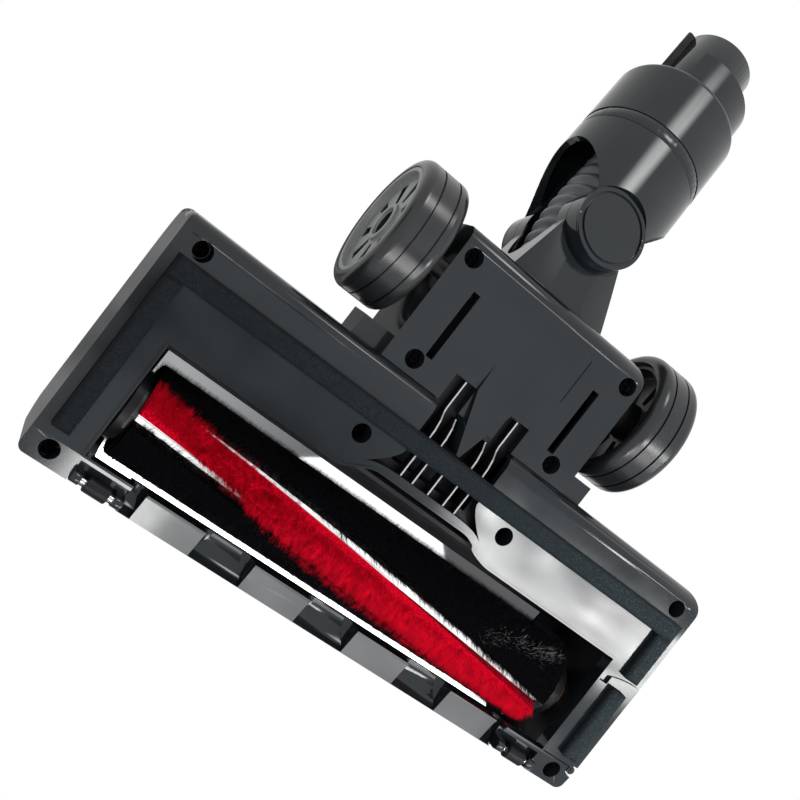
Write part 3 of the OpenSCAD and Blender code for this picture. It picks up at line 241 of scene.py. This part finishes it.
def make_finishes(looks, brush):
    """Every material of the object, by the name of its slot."""
    made = {}
    made["shell"] = plastic("shell_gloss", looks.shell, looks.gloss, ior=1.43)
    made["sole"] = plastic("sole_gloss", looks.sole, looks.gloss * 0.9, ior=1.43)
    made["dark_plastic"] = plastic("inner_black", (0.004, 0.004, 0.005), 0.4, ior=1.25)
    # painted light: faces of the mouth ribs that point straight down, towards the camera and lamps below, are painted
    # light grey; the other faces stay near-black
    f = Finish("rib_black", (0.004, 0.004, 0.005), 0.35, IOR=1.25)
    below = f.node("ShaderNodeSeparateXYZ")
    facing = f.node("ShaderNodeNewGeometry")
    f.link(facing.outputs["Normal"], below.inputs[0])
    f.colour_from(f.spread(below.outputs["Z"], 1, 0, -0.9, -0.5), [(0, (0.004, 0.004, 0.005)), (1, (0.2, 0.2, 0.21))])
    f.rough_from(f.noise(200, 3), 0.3, 0.5)
    made["rib"] = f.mat
    f = Finish("rim_satin", (0.15, 0.155, 0.155), 0.4)
    apart = f.node("ShaderNodeSeparateXYZ")
    f.link(f.place(), apart.inputs[0])
    out = f.node("ShaderNodeMath", operation="ABSOLUTE")
    f.link(apart.outputs["X"], out.inputs[0])
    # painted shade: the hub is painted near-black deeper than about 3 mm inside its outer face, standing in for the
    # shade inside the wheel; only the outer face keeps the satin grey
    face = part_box("wheel_hub_left")[1].x
    f.colour_from(
        f.spread(out.outputs[0], 0, 1, face - 3.4 * MM, face - 2.9 * MM), [(0, (0.002, 0.002, 0.002)), (1, (0.15, 0.155, 0.155))]
    )
    f.rough_from(f.noise(60, 3), 0.3, 0.5)
    made["wheel_rim"] = f.mat
    made["tyre"] = plastic("tyre_satin", (0.006, 0.0065, 0.0075), 0.22, flow=14)

    f = Finish("hood_clear", looks.hood, 0.04, IOR=1.46, Transmission_Weight=1.0)
    f.bump(f.noise(9, 2), 0.2, 0.00003)
    # painted shade: the clear hood is tinted dark towards its rear and its middle, standing in for the dark seen
    # through it there
    apart = f.node("ShaderNodeSeparateXYZ")
    f.link(f.place(), apart.inputs[0])
    rear = f.spread(apart.outputs["Y"], 0, 1, BRUSH.y - 3 * MM, BRUSH.y + 10 * MM)
    along = f.node("ShaderNodeMath", operation="MULTIPLY")
    f.link(rear, along.inputs[0])
    f.link(f.spread(apart.outputs["X"], 1, 0.6, 20 * MM, 90 * MM), along.inputs[1])
    f.colour_from(along.outputs[0], [(0, shade(looks.hood, 0.88)), (1, shade(looks.hood, 0.12))])
    made["clear_hood"] = f.mat

    f = Finish("felt_dark", (0.008, 0.012, 0.015), 0.95, IOR=1.3)
    apart = f.node("ShaderNodeSeparateXYZ")
    f.link(f.place(), apart.inputs[0])
    grain = f.noise(2200, 4, 0.7)
    # grain plus painted light: the felt is painted lighter towards -X, as if lit more strongly from that side
    grain_and_painted_light = f.node("ShaderNodeMath", operation="ADD")
    f.link(grain, grain_and_painted_light.inputs[0])
    f.link(f.spread(apart.outputs["X"], 0.12, -0.04, -90 * MM, 90 * MM), grain_and_painted_light.inputs[1])
    f.colour_from(grain_and_painted_light.outputs[0], [(0.38, (0.001, 0.0012, 0.002)), (0.68, (0.009, 0.013, 0.015)), (0.95, (0.09, 0.11, 0.11))])
    f.bump(grain, 0.8, 0.0004)
    made["felt"] = f.mat

    f = Finish("belt_rubber", (0.01, 0.01, 0.01), 0.7)
    f.bump(f.noise(700, 3), 0.5, 0.0002)
    made["rubber"] = f.mat

    f = Finish("core_white", (0.82, 0.82, 0.82), 0.32)
    apart = f.node("ShaderNodeSeparateXYZ")
    f.link(f.place(), apart.inputs[0])
    ends = f.node("ShaderNodeMath", operation="ABSOLUTE")
    middle = f.node("ShaderNodeMath", operation="SUBTRACT")
    middle.inputs[1].default_value = (brush.start + brush.stop) / 2
    f.link(apart.outputs["X"], middle.inputs[0])
    f.link(middle.outputs[0], ends.inputs[0])
    reach = (brush.stop - brush.start) / 2
    f.colour_from(
        f.spread(ends.outputs[0], 0, 1, reach - 0.4 * MM, reach - 0.2 * MM), [(0, (0.82, 0.82, 0.82)), (1, (0.008, 0.008, 0.009))]
    )
    f.rough_from(f.noise(60, 3), 0.25, 0.42)
    f.bump(f.noise(300, 2, stretch=(0.1, 1, 1)), 0.1, 0.0001)
    made["core"] = f.mat

    for slot, name, colour, rough, low, high in (
        ("plush", "plush_red", brush.red, 0.85, 0.3, 1.4),
        ("bristle", "bristle_black", brush.black, 0.5, 0.5, 3.0),
    ):
        f = Finish(name, colour, rough, IOR=1.18)
        tone = f.node("ShaderNodeAttribute", attribute_name="tone").outputs["Fac"]
        # painted sheen: bristles with tone 1 are painted pale grey as a streak of highlights on the black bands; lower
        # tones vary at random
        pale = (0.3, 0.31, 0.3) if slot == "bristle" else shade(colour, high)
        f.colour_from(tone, [(0.0, shade(colour, low)), (0.95, shade(colour, high)), (1.0, pale)])
        made[slot] = f.mat
        f = Finish(name + "_foot", colour, 0.9, IOR=1.05)
        grain = f.noise(1600, 3, 0.7)
        f.colour_from(grain, [(0.35, shade(colour, low * 0.5)), (0.65, shade(colour, 0.8))])
        f.bump(grain, 0.9, 0.0005)
        made[slot + "_foot"] = f.mat

    f = Finish("hose_grey", (0.05, 0.053, 0.057), 0.4)
    f.rough_from(f.noise(80, 3), 0.32, 0.5)
    f.bump(f.noise(600, 2), 0.1, 0.0001)
    made["hose"] = f.mat

    f = Finish("steel_plain", (0.5, 0.5, 0.51), 0.3, Metallic=1.0)
    f.rough_from(f.noise(400, 3, stretch=(0.05, 1, 1)), 0.22, 0.45)
    made["steel"] = f.mat
    # painted shade: the screws are made near-black with little gloss so the deep screw wells read as dark shade
    f = Finish("screw_black", (0.002, 0.002, 0.0025), 0.8, IOR=1.08)
    f.rough_from(f.noise(600, 3), 0.6, 0.9)
    made["black_screw"] = f.mat
    f = Finish("bush_bronze", (0.42, 0.27, 0.12), 0.45, Metallic=1.0)
    f.rough_from(f.noise(500, 3), 0.35, 0.6)
    made["bronze"] = f.mat
    return made


FINISH = {}


def coat(obj, slot):
    obj.data.materials.clear()
    obj.data.materials.append(FINISH[slot])


def soften(obj, width, angle=32):
    """Rounds the moulded edges of a carried-over solid."""
    m = obj.modifiers.new("weld", "WELD")
    m.merge_threshold = 2e-6
    m = obj.modifiers.new("edges", "BEVEL")
    m.width = width
    m.segments = 2
    m.limit_method = "ANGLE"
    m.angle_limit = math.radians(angle)
    m.use_clamp_overlap = True
    m.harden_normals = True


def add_piece(name, bm, slot, body, stands_for=(), smooth=True, finish=None):
    """Turns a bmesh into a finished piece that rides on a body."""
    bmesh.ops.remove_doubles(bm, verts=bm.verts, dist=1e-7)
    bmesh.ops.recalc_face_normals(bm, faces=bm.faces)
    mesh = bpy.data.meshes.new(name)
    bm.to_mesh(mesh)
    bm.free()
    return add_mesh(name, mesh, slot, body, stands_for, smooth, finish)


def add_mesh(name, mesh, slot, body, stands_for=(), smooth=True, finish=None):
    for p in mesh.polygons:
        p.use_smooth = smooth
    obj = bpy.data.objects.new(name, mesh)
    bpy.context.scene.collection.objects.link(obj)
    mesh.materials.append(FINISH[finish or slot])
    if body:
        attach(obj, body)
    if stands_for:
        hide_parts(*stands_for)
    return obj


def strands(name, roots, tips, thick, tone, slot, body, stands_for=()):
    """Lays one tapered three-sided strand along every root and tip pair."""
    bm = bmesh.new()
    bmesh.ops.create_cone(bm, cap_ends=False, segments=3, radius1=1, radius2=0, depth=1)
    bmesh.ops.remove_doubles(bm, verts=bm.verts, dist=1e-6)
    bm.verts.index_update()
    unit = np.array([v.co for v in bm.verts])
    loops = np.array([[v.index for v in f.verts] for f in bm.faces])
    bm.free()
    sides = loops.shape[1]
    n, k = len(roots), len(unit)
    w = tips - roots
    side = np.cross(w, np.array([0.31, 0.52, 0.79]))
    side /= np.linalg.norm(side, axis=1)[:, None]
    other = np.cross(w, side)
    other /= np.linalg.norm(other, axis=1)[:, None]
    co = (
        roots[:, None, :]
        + w[:, None, :] * (unit[None, :, 2:3] + 0.5)
        + thick * (side[:, None, :] * unit[None, :, 0:1] + other[:, None, :] * unit[None, :, 1:2])
    ).reshape(-1, 3)
    faces = (loops[None] + (np.arange(n) * k)[:, None, None]).reshape(-1, sides)
    mesh = bpy.data.meshes.new(name)
    mesh.vertices.add(n * k)
    mesh.vertices.foreach_set("co", co.astype(np.float32).ravel())
    mesh.loops.add(faces.size)
    mesh.loops.foreach_set("vertex_index", faces.ravel())
    mesh.polygons.add(len(faces))
    mesh.polygons.foreach_set("loop_start", np.arange(len(faces)) * sides)
    mesh.update(calc_edges=True)
    attribute = mesh.attributes.new("tone", "FLOAT", "POINT")
    attribute.data.foreach_set("value", np.repeat(tone, k).astype(np.float32))
    return add_mesh(name, mesh, slot, body, stands_for, smooth=False)


def sweep(bm, stations, segments):
    """Draws a ring through the given stations, each a matrix that sets its place, turn and size."""
    ring = bmesh.ops.create_circle(bm, cap_ends=False, segments=segments, radius=1)["verts"]
    edges = list({e for v in ring for e in v.link_edges})
    bmesh.ops.transform(bm, matrix=stations[0], verts=ring)
    for before, after in zip(stations, stations[1:]):
        made = bmesh.ops.extrude_edge_only(bm, edges=edges)["geom"]
        ring = [g for g in made if isinstance(g, bmesh.types.BMVert)]
        edges = [g for g in made if isinstance(g, bmesh.types.BMEdge)]
        bmesh.ops.transform(bm, matrix=after @ before.inverted(), verts=ring)


# ---------------------------------------------------------------- pieces
SHELLS = {
    "sole": ["sole_plate", "end_door", "rear_bottom_plate"],
    "shell": [
        "head_top_cover", "rear_top_cover", "knuckle", "fork_tube", "accent_ring", "upper_sleeve",
        "wand_spigot", "pivot_cap_lower", "pivot_cap_upper",
    ],
    "dark_plastic": ["chamber_liner", "airway_duct", "mouth_ribs", "hose_cuff_lower", "hose_cuff_upper", "contact_rib"],
}
FINE = {"mouth_ribs", "accent_ring"}
CURVED = {"fork_tube", "upper_sleeve", "knuckle"}


class BRUSHHEAD_OT_shells(Operator):
    """Gives the moulded covers, the sole and the neck their gloss plastic and soft edges"""

    bl_idname = "brushhead.shells"
    bl_label = "Shells"

    def execute(self, context):
        looks = context.scene.brushhead_shells
        for slot, names in SHELLS.items():
            for name in names:
                coat(NODES[name], slot)
                if name not in CURVED:
                    soften(NODES[name], looks.edge * (0.4 if name in FINE else 1))
        coat(NODES["brush_window"], "clear_hood")
        coat(NODES["mouth_ribs"], "rib")
        return {"FINISHED"}


class BRUSHHEAD_OT_running_gear(Operator):
    """Finishes wheels, rollers, axles, pins and screws"""

    bl_idname = "brushhead.running_gear"
    bl_label = "Wheels and fasteners"

    def execute(self, context):
        for side in ("left", "right"):
            coat(NODES["wheel_tyre_" + side], "tyre")
            coat(NODES["wheel_hub_" + side], "wheel_rim")
            soften(NODES["wheel_hub_" + side], 0.3 * MM)
            coat(NODES["front_roller_" + side], "dark_plastic")
            coat(NODES["wheel_screw_" + side], "black_screw")
            for name in ("wheel_axle_", "roller_pin_"):
                coat(NODES[name + side], "steel")
            coat(NODES["brush_bush_" + side], "bronze")
        for name in ("head_screws", "rear_screws"):
            coat(NODES[name], "black_screw")
        coat(NODES["door_hinge_pin"], "dark_plastic")
        for name in ("pivot_pin_lower", "pivot_pin_upper"):
            coat(NODES[name], "steel")
        coat(NODES["contact_pins"], "bronze")
        return {"FINISHED"}


class BRUSHHEAD_OT_drive(Operator):
    """Finishes the motor, pulleys and belt"""

    bl_idname = "brushhead.drive"
    bl_label = "Motor and belt"

    def execute(self, context):
        for name in ("drive_motor", "motor_pulley"):
            coat(NODES[name], "steel")
        for name in ("drive_hub", "end_hub", "brush_pulley"):
            coat(NODES[name], "dark_plastic")
        coat(NODES["drive_belt"], "rubber")
        return {"FINISHED"}


def row_angle(size, t, phase):
    """Angle of a row's middle about the brush axis, from +Y towards +Z, at share t of its length."""
    return math.radians(-90) + phase + size.twist * (1.48 * t - 0.48 * t * t - 0.65)


def row_body(size, phase, half, top):
    """The dense foot of one row: a curved band swept along its twist."""
    bm = bmesh.new()
    steps, n = 48, 10
    fan = [half * (2 * i / n - 1) for i in range(n + 1)]
    section = [(size.core - 0.6 * MM, q) for q in fan] + [(top, q * 0.95) for q in reversed(fan)]
    before = edges = None
    for i in range(steps + 1):
        t = i / steps
        m = Matrix.Translation((size.start + (size.stop - size.start) * t, BRUSH.y, BRUSH.z))
        m = m @ Matrix.Rotation(row_angle(size, t, phase), 4, "X")
        if before is None:
            verts = [bm.verts.new(m @ Vector((0, r * math.cos(q), r * math.sin(q)))) for r, q in section]
            edges = [bm.edges.new((v, verts[(k + 1) % len(verts)])) for k, v in enumerate(verts)]
            bmesh.ops.contextual_create(bm, geom=edges)
        else:
            made = bmesh.ops.extrude_edge_only(bm, edges=edges)["geom"]
            edges = [g for g in made if isinstance(g, bmesh.types.BMEdge)]
            verts = [g for g in made if isinstance(g, bmesh.types.BMVert)]
            bmesh.ops.transform(bm, matrix=m @ before.inverted(), verts=verts)
        before = m
    bmesh.ops.contextual_create(bm, geom=edges)
    return bm


# How the fibres of a row stand: lean in the middle, spread at the row's edges, tufts and looseness; the pale entry
# (line, slope, share) marks a diagonal band of fibres painted pale as a painted sheen
PLUSH = {"lean": ((0, -6), (0.25, -16), (0.6, -18), (0.8, -4), (1, 12)), "spread": (-1.5, 7), "loose": 0.05, "grow": 0, "pale": (0, 0, 0), "tuft": 1.3, "gather": 0.3, "lay": 0.05, "short": 1.5, "foot": 17.0, "thick": 0.1}
BRISTLE = {"lean": ((0, 0), (1, 0)), "spread": (5, 0), "loose": 0.09, "grow": 0.7, "pale": (4, -209, 0.21), "tuft": 1.2, "gather": 0.55, "lay": 0.07, "short": 1.8, "foot": 18.3, "thick": 0.11}


def row_strands(size, phase, half, count, seed, pile):
    """Root, tip and tone of every fibre of one row; the tone also carries a band of painted sheen."""
    rng = np.random.default_rng(seed)
    t = rng.random(count)
    q = rng.uniform(-half, half, count)
    mid = row_angle(size, t, phase)
    x = size.start + (size.stop - size.start) * t
    swell = np.sin(math.pi * t) ** 2
    r0 = size.core - 0.3 * MM
    r1 = size.reach + (pile["grow"] - rng.random(count) ** 2 * (pile["short"] + pile["grow"])) * MM
    pitch = pile["tuft"] * MM
    cell_x, cell_q = np.floor(x / pitch), np.floor(q * size.core / pitch)
    tuft = (cell_x - cell_x.min()).astype(int), (cell_q - cell_q.min()).astype(int)
    lay = rng.normal(0, pile["lay"], (tuft[0].max() + 1, tuft[1].max() + 1, 3))[tuft]
    gather_x = pile["gather"] * ((cell_x + 0.5) * pitch - x)
    gather_q = pile["gather"] * ((cell_q + 0.5) * pitch / size.core - q)
    spread = np.radians(pile["spread"][0] + pile["spread"][1] * swell) * q / half
    lean = np.radians(np.interp(t, *zip(*pile["lean"])))
    turn = q + lean + spread + gather_q + lay[:, 0] + rng.normal(0, pile["loose"], count)
    along = x + gather_x + (r1 - r0) * (2 * lay[:, 1] + rng.normal(0, 2 * pile["loose"], count))
    along = np.clip(along, size.start - 1.6 * MM, size.stop + 1.2 * MM)

    def at(r, a, x):
        return np.stack([x, BRUSH.y + r * np.cos(a), BRUSH.z + r * np.sin(a)], 1)

    tone = np.clip(0.45 * rng.random(count) + 0.25 + 3 * lay[:, 2], 0, 0.95)
    # painted sheen: a diagonal band of bristles near the free end gets tone 1, which is painted pale as a streak of
    # highlights
    line, slope, share = pile["pale"]
    pale = (t < share) & (np.abs(np.degrees(q) - line - slope * t) < 4.5) & (lay[:, 2] > -0.03)
    tone[pale] = 1
    return at(r0, mid + q, x), at(r1, mid + turn, along), tone


class BRUSHHEAD_OT_brush(Operator):
    """Makes the spiral brush: white core, two red plush rows and two wide black bristle bands"""

    bl_idname = "brushhead.brush"
    bl_label = "Brush"

    def execute(self, context):
        size = context.scene.brushhead_brush
        coat(NODES["brush_core"], "core")
        plush_half = math.asin(size.plush_width / 2 / size.core)
        rows = (
            ("red_plush", "plush", (0, 180), plush_half, size.plush_count, PLUSH),
            ("black_bristle", "bristle", (90, 270), size.band_half, size.bristle_count, BRISTLE),
        )
        for name, slot, phases, half, count, pile in rows:
            for i, degrees in enumerate(phases):
                phase = math.radians(degrees)
                foot = row_body(size, phase, half, pile["foot"] * MM)
                add_piece(f"{name}_foot_{i + 1}", foot, slot, "brush", smooth=False, finish=slot + "_foot")
                roots, tips, tone = row_strands(size, phase, half, count, 40 + i, pile)
                strands(f"{name}_row_{i + 1}", roots, tips, pile["thick"] * MM, tone, slot, "brush", [name + "_rows"])
        return {"FINISHED"}


FELTS = {"felt_strip_rear": "head", "felt_strip_left": "head", "felt_strip_right": "head", "felt_strip_door": "door"}


class BRUSHHEAD_OT_felts(Operator):
    """Makes the flocked felt strips with their uneven pile and frayed edges"""

    bl_idname = "brushhead.felts"
    bl_label = "Felt strips"

    def execute(self, context):
        for k, (name, body) in enumerate(FELTS.items()):
            low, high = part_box(name)
            size = high - low
            bm = bmesh.new()
            bmesh.ops.create_cube(bm, size=1)
            bmesh.ops.scale(bm, vec=size, verts=bm.verts)
            bmesh.ops.translate(bm, vec=(low + high) / 2, verts=bm.verts)
            long_way = 0 if size.x > size.y else 1
            for axis, pitch in ((long_way, 1.6 * MM), (1 - long_way, 1.2 * MM)):
                cuts = max(2, int(size[axis] / pitch))
                for i in range(1, cuts):
                    spot = low.copy()
                    spot[axis] += size[axis] * i / cuts
                    normal = Vector((0, 0, 0))
                    normal[axis] = 1
                    bmesh.ops.bisect_plane(bm, geom=bm.verts[:] + bm.edges[:] + bm.faces[:], plane_co=spot, plane_no=normal)
            for v in bm.verts:
                if v.co.z < low.z + 1e-6:
                    edge = min(v.co.x - low.x, high.x - v.co.x, v.co.y - low.y, high.y - v.co.y)
                    v.co.z += 0.35 * MM * (noise.noise(v.co * 900) + 1) / 2 + (0.5 * MM if edge < 1e-6 else 0)
            add_piece(name + "_pile", bm, "felt", body, [name])
            rng = np.random.default_rng(70 + k)
            n = int(size.x * size.y * 1e6 * 7)
            roots = np.stack([low[i] + rng.random(n) * size[i] for i in range(2)] + [np.full(n, low.z + 0.4 * MM)], 1)
            tips = roots + np.stack([rng.normal(0, 0.35 * MM, n), rng.normal(0, 0.35 * MM, n), -0.4 * MM * rng.random(n)], 1)
            tips[:, 2] = np.maximum(tips[:, 2], low.z)
            strands(name + "_fuzz", roots, tips, 0.05 * MM, rng.random(n), "felt", body)
        return {"FINISHED"}


def hose_stations(size):
    """Places, turns and radii of the hose's rings, in the row frame."""
    tilt = Matrix.Translation(AXLE) @ Matrix.Rotation(math.radians(20.8), 4, "X") @ Matrix.Translation((0, 0, 0.5 * MM))
    swing = math.radians(9.9)
    p0, p1 = Vector((0, 12 * MM, 0)), Vector((0, 44.8 * MM, 0))
    p2 = p1 + 46 * MM * Vector((-math.sin(swing), math.cos(swing), 0))

    def at(t):
        p = p0.lerp(p1, t).lerp(p1.lerp(p2, t), t)
        return p + Vector((size.bow * (1 - math.cos(2 * math.pi * t)) / 2, 0, 0))

    per = 10
    n = size.waves * per
    out = []
    for i in range(n + 1):
        t = i / n
        d = (at(min(1, t + 0.5 / n)) - at(max(0, t - 0.5 / n))).normalized()
        turn = d.to_track_quat("Z", "X").to_matrix().to_4x4()
        wave = (1 - math.cos(2 * math.pi * i / per)) / 2
        r = size.radius - size.depth * wave ** 1.6
        out.append(tilt @ Matrix.Translation(at(t)) @ turn @ Matrix.Diagonal((r, r, r, 1)))
    return out


class BRUSHHEAD_OT_hose(Operator):
    """Makes the ribbed hose that bends between the knuckle and the fork tube"""

    bl_idname = "brushhead.hose"
    bl_label = "Hose"

    def execute(self, context):
        size = context.scene.brushhead_hose
        bm = bmesh.new()
        stations = hose_stations(size)
        sweep(bm, stations, 48)
        hose = add_piece("ribbed_hose", bm, "hose", None, ["corrugated_hose"])
        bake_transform(hose)
        wall = hose.modifiers.new("wall", "SOLIDIFY")
        wall.thickness = 0.8 * MM
        wall.offset = -1
        return {"FINISHED"}


# ---------------------------------------------------------------- stage
def softbox(name, place, aim, size, power, tint=(1, 1, 1)):
    light = bpy.data.lights.new(name, "AREA")
    light.shape = "RECTANGLE"
    light.size, light.size_y = size
    light.energy = power
    light.color = tint
    obj = bpy.data.objects.new(name, light)
    obj.visible_glossy = False
    bpy.context.scene.collection.objects.link(obj)
    obj.location = place
    obj.rotation_mode = "QUATERNION"
    obj.rotation_quaternion = (Vector(aim) - Vector(place)).to_track_quat("-Z", "Y")
    return obj


def reflector(name, place, aim, size, glow, edge=0.15, grain=3):
    """A studio card that only shows in the gloss. Its light fades to its edges and has uneven patches."""
    bm = bmesh.new()
    bmesh.ops.create_grid(bm, x_segments=1, y_segments=1, size=0.5)
    mesh = bpy.data.meshes.new(name)
    bm.to_mesh(mesh)
    bm.free()
    card = bpy.data.objects.new(name, mesh)
    bpy.context.scene.collection.objects.link(card)
    card.location = place
    card.rotation_mode = "QUATERNION"
    card.rotation_quaternion = (Vector(aim) - Vector(place)).to_track_quat("Z", "Y")
    card.scale = (*size, 1)
    for way in ("camera", "diffuse", "shadow", "transmission", "volume_scatter"):
        setattr(card, "visible_" + way, False)
    f = Finish(name, (0, 0, 0), 1)
    apart = f.node("ShaderNodeSeparateXYZ")
    f.link(f.place(), apart.inputs[0])
    fade = None
    for axis in ("X", "Y"):
        for side in (-0.5, 0.5):
            one = f.spread(apart.outputs[axis], 0, 1, side, side * (1 - 2 * edge))
            if fade is None:
                fade = one
                continue
            times = f.node("ShaderNodeMath", operation="MULTIPLY")
            f.link(fade, times.inputs[0])
            f.link(one, times.inputs[1])
            fade = times.outputs[0]
    glowing = f.node("ShaderNodeEmission")
    f.link(f.spread(f.noise(grain, 3, 0.55), glow[0], glow[1], 0.38, 0.62), glowing.inputs["Strength"])
    clear = f.node("ShaderNodeBsdfTransparent")
    mix = f.node("ShaderNodeMixShader")
    f.link(fade, mix.inputs["Fac"])
    f.link(clear.outputs[0], mix.inputs[1])
    f.link(glowing.outputs[0], mix.inputs[2])
    f.link(mix.outputs[0], f.out.inputs["Surface"])
    mesh.materials.append(f.mat)


class BRUSHHEAD_OT_stage(Operator):
    """Sets the camera, the lamps, the pale floor and the white background"""

    bl_idname = "brushhead.stage"
    bl_label = "Stage"

    def execute(self, context):
        look = context.scene.brushhead_stage
        scene = context.scene
        scene.view_settings.view_transform = "Standard"
        cam = bpy.data.cameras.new("photo_camera")
        cam.lens, cam.sensor_width = look.lens, 36
        cam.clip_start, cam.clip_end = 0.01, 20
        view = bpy.data.objects.new("photo_camera", cam)
        scene.collection.objects.link(view)
        right = Vector((-0.7496, 0.6107, -0.2552))
        down = Vector((-0.5654, -0.7913, -0.2327))
        ahead = Vector((-0.3441, -0.0301, 0.9384))
        turn = Matrix((right, -down, -ahead)).transposed().to_quaternion()
        view.rotation_mode = "QUATERNION"
        view.rotation_quaternion = turn
        view.location = head(159.34, 50.37, -346.64)
        scene.camera = view

        bm = bmesh.new()
        bmesh.ops.create_circle(bm, cap_ends=True, segments=48, radius=1.6)
        mesh = bpy.data.meshes.new("floor")
        bm.to_mesh(mesh)
        bm.free()
        floor = bpy.data.objects.new("floor", mesh)
        scene.collection.objects.link(floor)
        f = Finish("floor_pale", look.floor, 0.6)
        geometry = f.node("ShaderNodeNewGeometry")
        clear = f.node("ShaderNodeBsdfTransparent")
        mix = f.node("ShaderNodeMixShader")
        f.link(geometry.outputs["Backfacing"], mix.inputs["Fac"])
        f.link(f.shader.outputs["BSDF"], mix.inputs[1])
        f.link(clear.outputs["BSDF"], mix.inputs[2])
        f.link(mix.outputs["Shader"], f.out.inputs["Surface"])
        mesh.materials.append(f.mat)
        floor.visible_shadow = False
        floor.visible_glossy = False
        floor.visible_diffuse = False
        floor.visible_transmission = False

        world = bpy.data.worlds.new("white_room")
        world.use_nodes = True
        scene.world = world
        tree = world.node_tree
        back = tree.nodes["Background"]
        path = tree.nodes.new("ShaderNodeLightPath")
        seen = tree.nodes.new("ShaderNodeMath")
        seen.operation = "MAXIMUM"
        also = tree.nodes.new("ShaderNodeMath")
        also.operation = "MAXIMUM"
        tree.links.new(path.outputs["Is Camera Ray"], seen.inputs[0])
        tree.links.new(path.outputs["Is Glossy Ray"], seen.inputs[1])
        tree.links.new(seen.outputs[0], also.inputs[0])
        tree.links.new(path.outputs["Is Transmission Ray"], also.inputs[1])
        power = tree.nodes.new("ShaderNodeMapRange")
        power.inputs["To Min"].default_value = 0.55
        power.inputs["To Max"].default_value = 1.0
        tree.links.new(also.outputs[0], power.inputs["Value"])
        tree.links.new(power.outputs["Result"], back.inputs["Strength"])
        back.inputs["Color"].default_value = (1, 1, 1, 1)

        for name, place, aim, size, glow, edge, grain in (
            ("tall_window", (-0.05, 0.83, -0.43), (0, 0, 0.05), (0.42, 0.36), (10, 14), 0.35, 2),
            ("cloud_card", (-0.50, -0.145, -0.6), (-0.5, -0.145, 0), (0.42, 0.10), (4, 34), 0.12, 7),
            ("low_window", (-0.30, -0.43, -0.6), (-0.3, -0.43, 0), (0.56, 0.36), (4, 8), 0.08, 5),
            ("spot_card", (-0.04, -0.52, -0.595), (-0.04, -0.52, 0), (0.12, 0.2), (6, 34), 0.1, 14),
            ("dark_card", (-0.06, -0.15, -0.59), (-0.06, -0.15, 0), (0.40, 0.12), (0.05, 0.7), 0.2, 3),
            ("sky_flag", (0.15, -0.3, 1.0), (0, -0.1, 0), (0.9, 0.8), (0.02, 0.3), 0.1, 3),
            ("front_flag", (-0.2, -1.1, 0.05), (0, 0, 0), (1.6, 0.7), (0.0, 0.2), 0.1, 3),
            ("side_flag", (1.0, 0.15, 0.1), (0, 0, 0), (0.6, 0.5), (0.0, 0.4), 0.15, 3),
        ):
            reflector(name, place, aim, size, glow, edge, grain)
        softbox("under_key", (-0.25, 0.05, -0.75), (0, -0.02, 0.03), (0.5, 0.5), 9)
        softbox("under_fill", (0.45, -0.25, -0.6), (0, -0.02, 0.03), (0.5, 0.5), 3)
        softbox("side_key", (-0.5, -0.15, -0.4), (-0.05, -0.1, 0), (0.2, 0.3), 5)
        softbox("over_key", (-0.35, -0.5, 0.9), (0, 0, 0.03), (0.6, 0.6), 12)
        softbox("over_fill", (0.6, 0.5, 0.7), (0, 0, 0.03), (0.6, 0.6), 6)
        return {"FINISHED"}


class BRUSHHEAD_PT_panel(Panel):
    """Shows the settings and the step buttons of the brush head"""

    bl_idname = "BRUSHHEAD_PT_panel"
    bl_label = "Brush head"
    bl_space_type = "VIEW_3D"
    bl_region_type = "UI"
    bl_category = "Brush Head"

    def draw(self, context):
        for group in (ShellLooks, BrushSizes, HoseSizes, StageLooks):
            data = getattr(context.scene, SETTINGS[group])
            box = self.layout.box()
            for key in group.__annotations__:
                box.prop(data, key)
        for op in STEPS:
            self.layout.operator(op.bl_idname)


SETTINGS = {
    ShellLooks: "brushhead_shells", BrushSizes: "brushhead_brush",
    HoseSizes: "brushhead_hose", StageLooks: "brushhead_stage",
}
STEPS = (
    BRUSHHEAD_OT_stage, BRUSHHEAD_OT_shells, BRUSHHEAD_OT_running_gear, BRUSHHEAD_OT_drive,
    BRUSHHEAD_OT_brush, BRUSHHEAD_OT_felts, BRUSHHEAD_OT_hose,
)


def register():
    for c in (*SETTINGS, *STEPS, BRUSHHEAD_PT_panel):
        bpy.utils.register_class(c)
    for group, name in SETTINGS.items():
        setattr(bpy.types.Scene, name, PointerProperty(type=group))


def unregister():
    for name in SETTINGS.values():
        delattr(bpy.types.Scene, name)
    for c in reversed((*SETTINGS, *STEPS, BRUSHHEAD_PT_panel)):
        bpy.utils.unregister_class(c)


def main():
    register()
    scene = bpy.context.scene
    FINISH.update(make_finishes(scene.brushhead_shells, scene.brushhead_brush))
    bpy.ops.brushhead.stage()
    bpy.ops.brushhead.shells()
    bpy.ops.brushhead.running_gear()
    bpy.ops.brushhead.drive()
    bpy.ops.brushhead.brush()
    bpy.ops.brushhead.felts()
    bpy.ops.brushhead.hose()


if __name__ == "__main__":
    main()
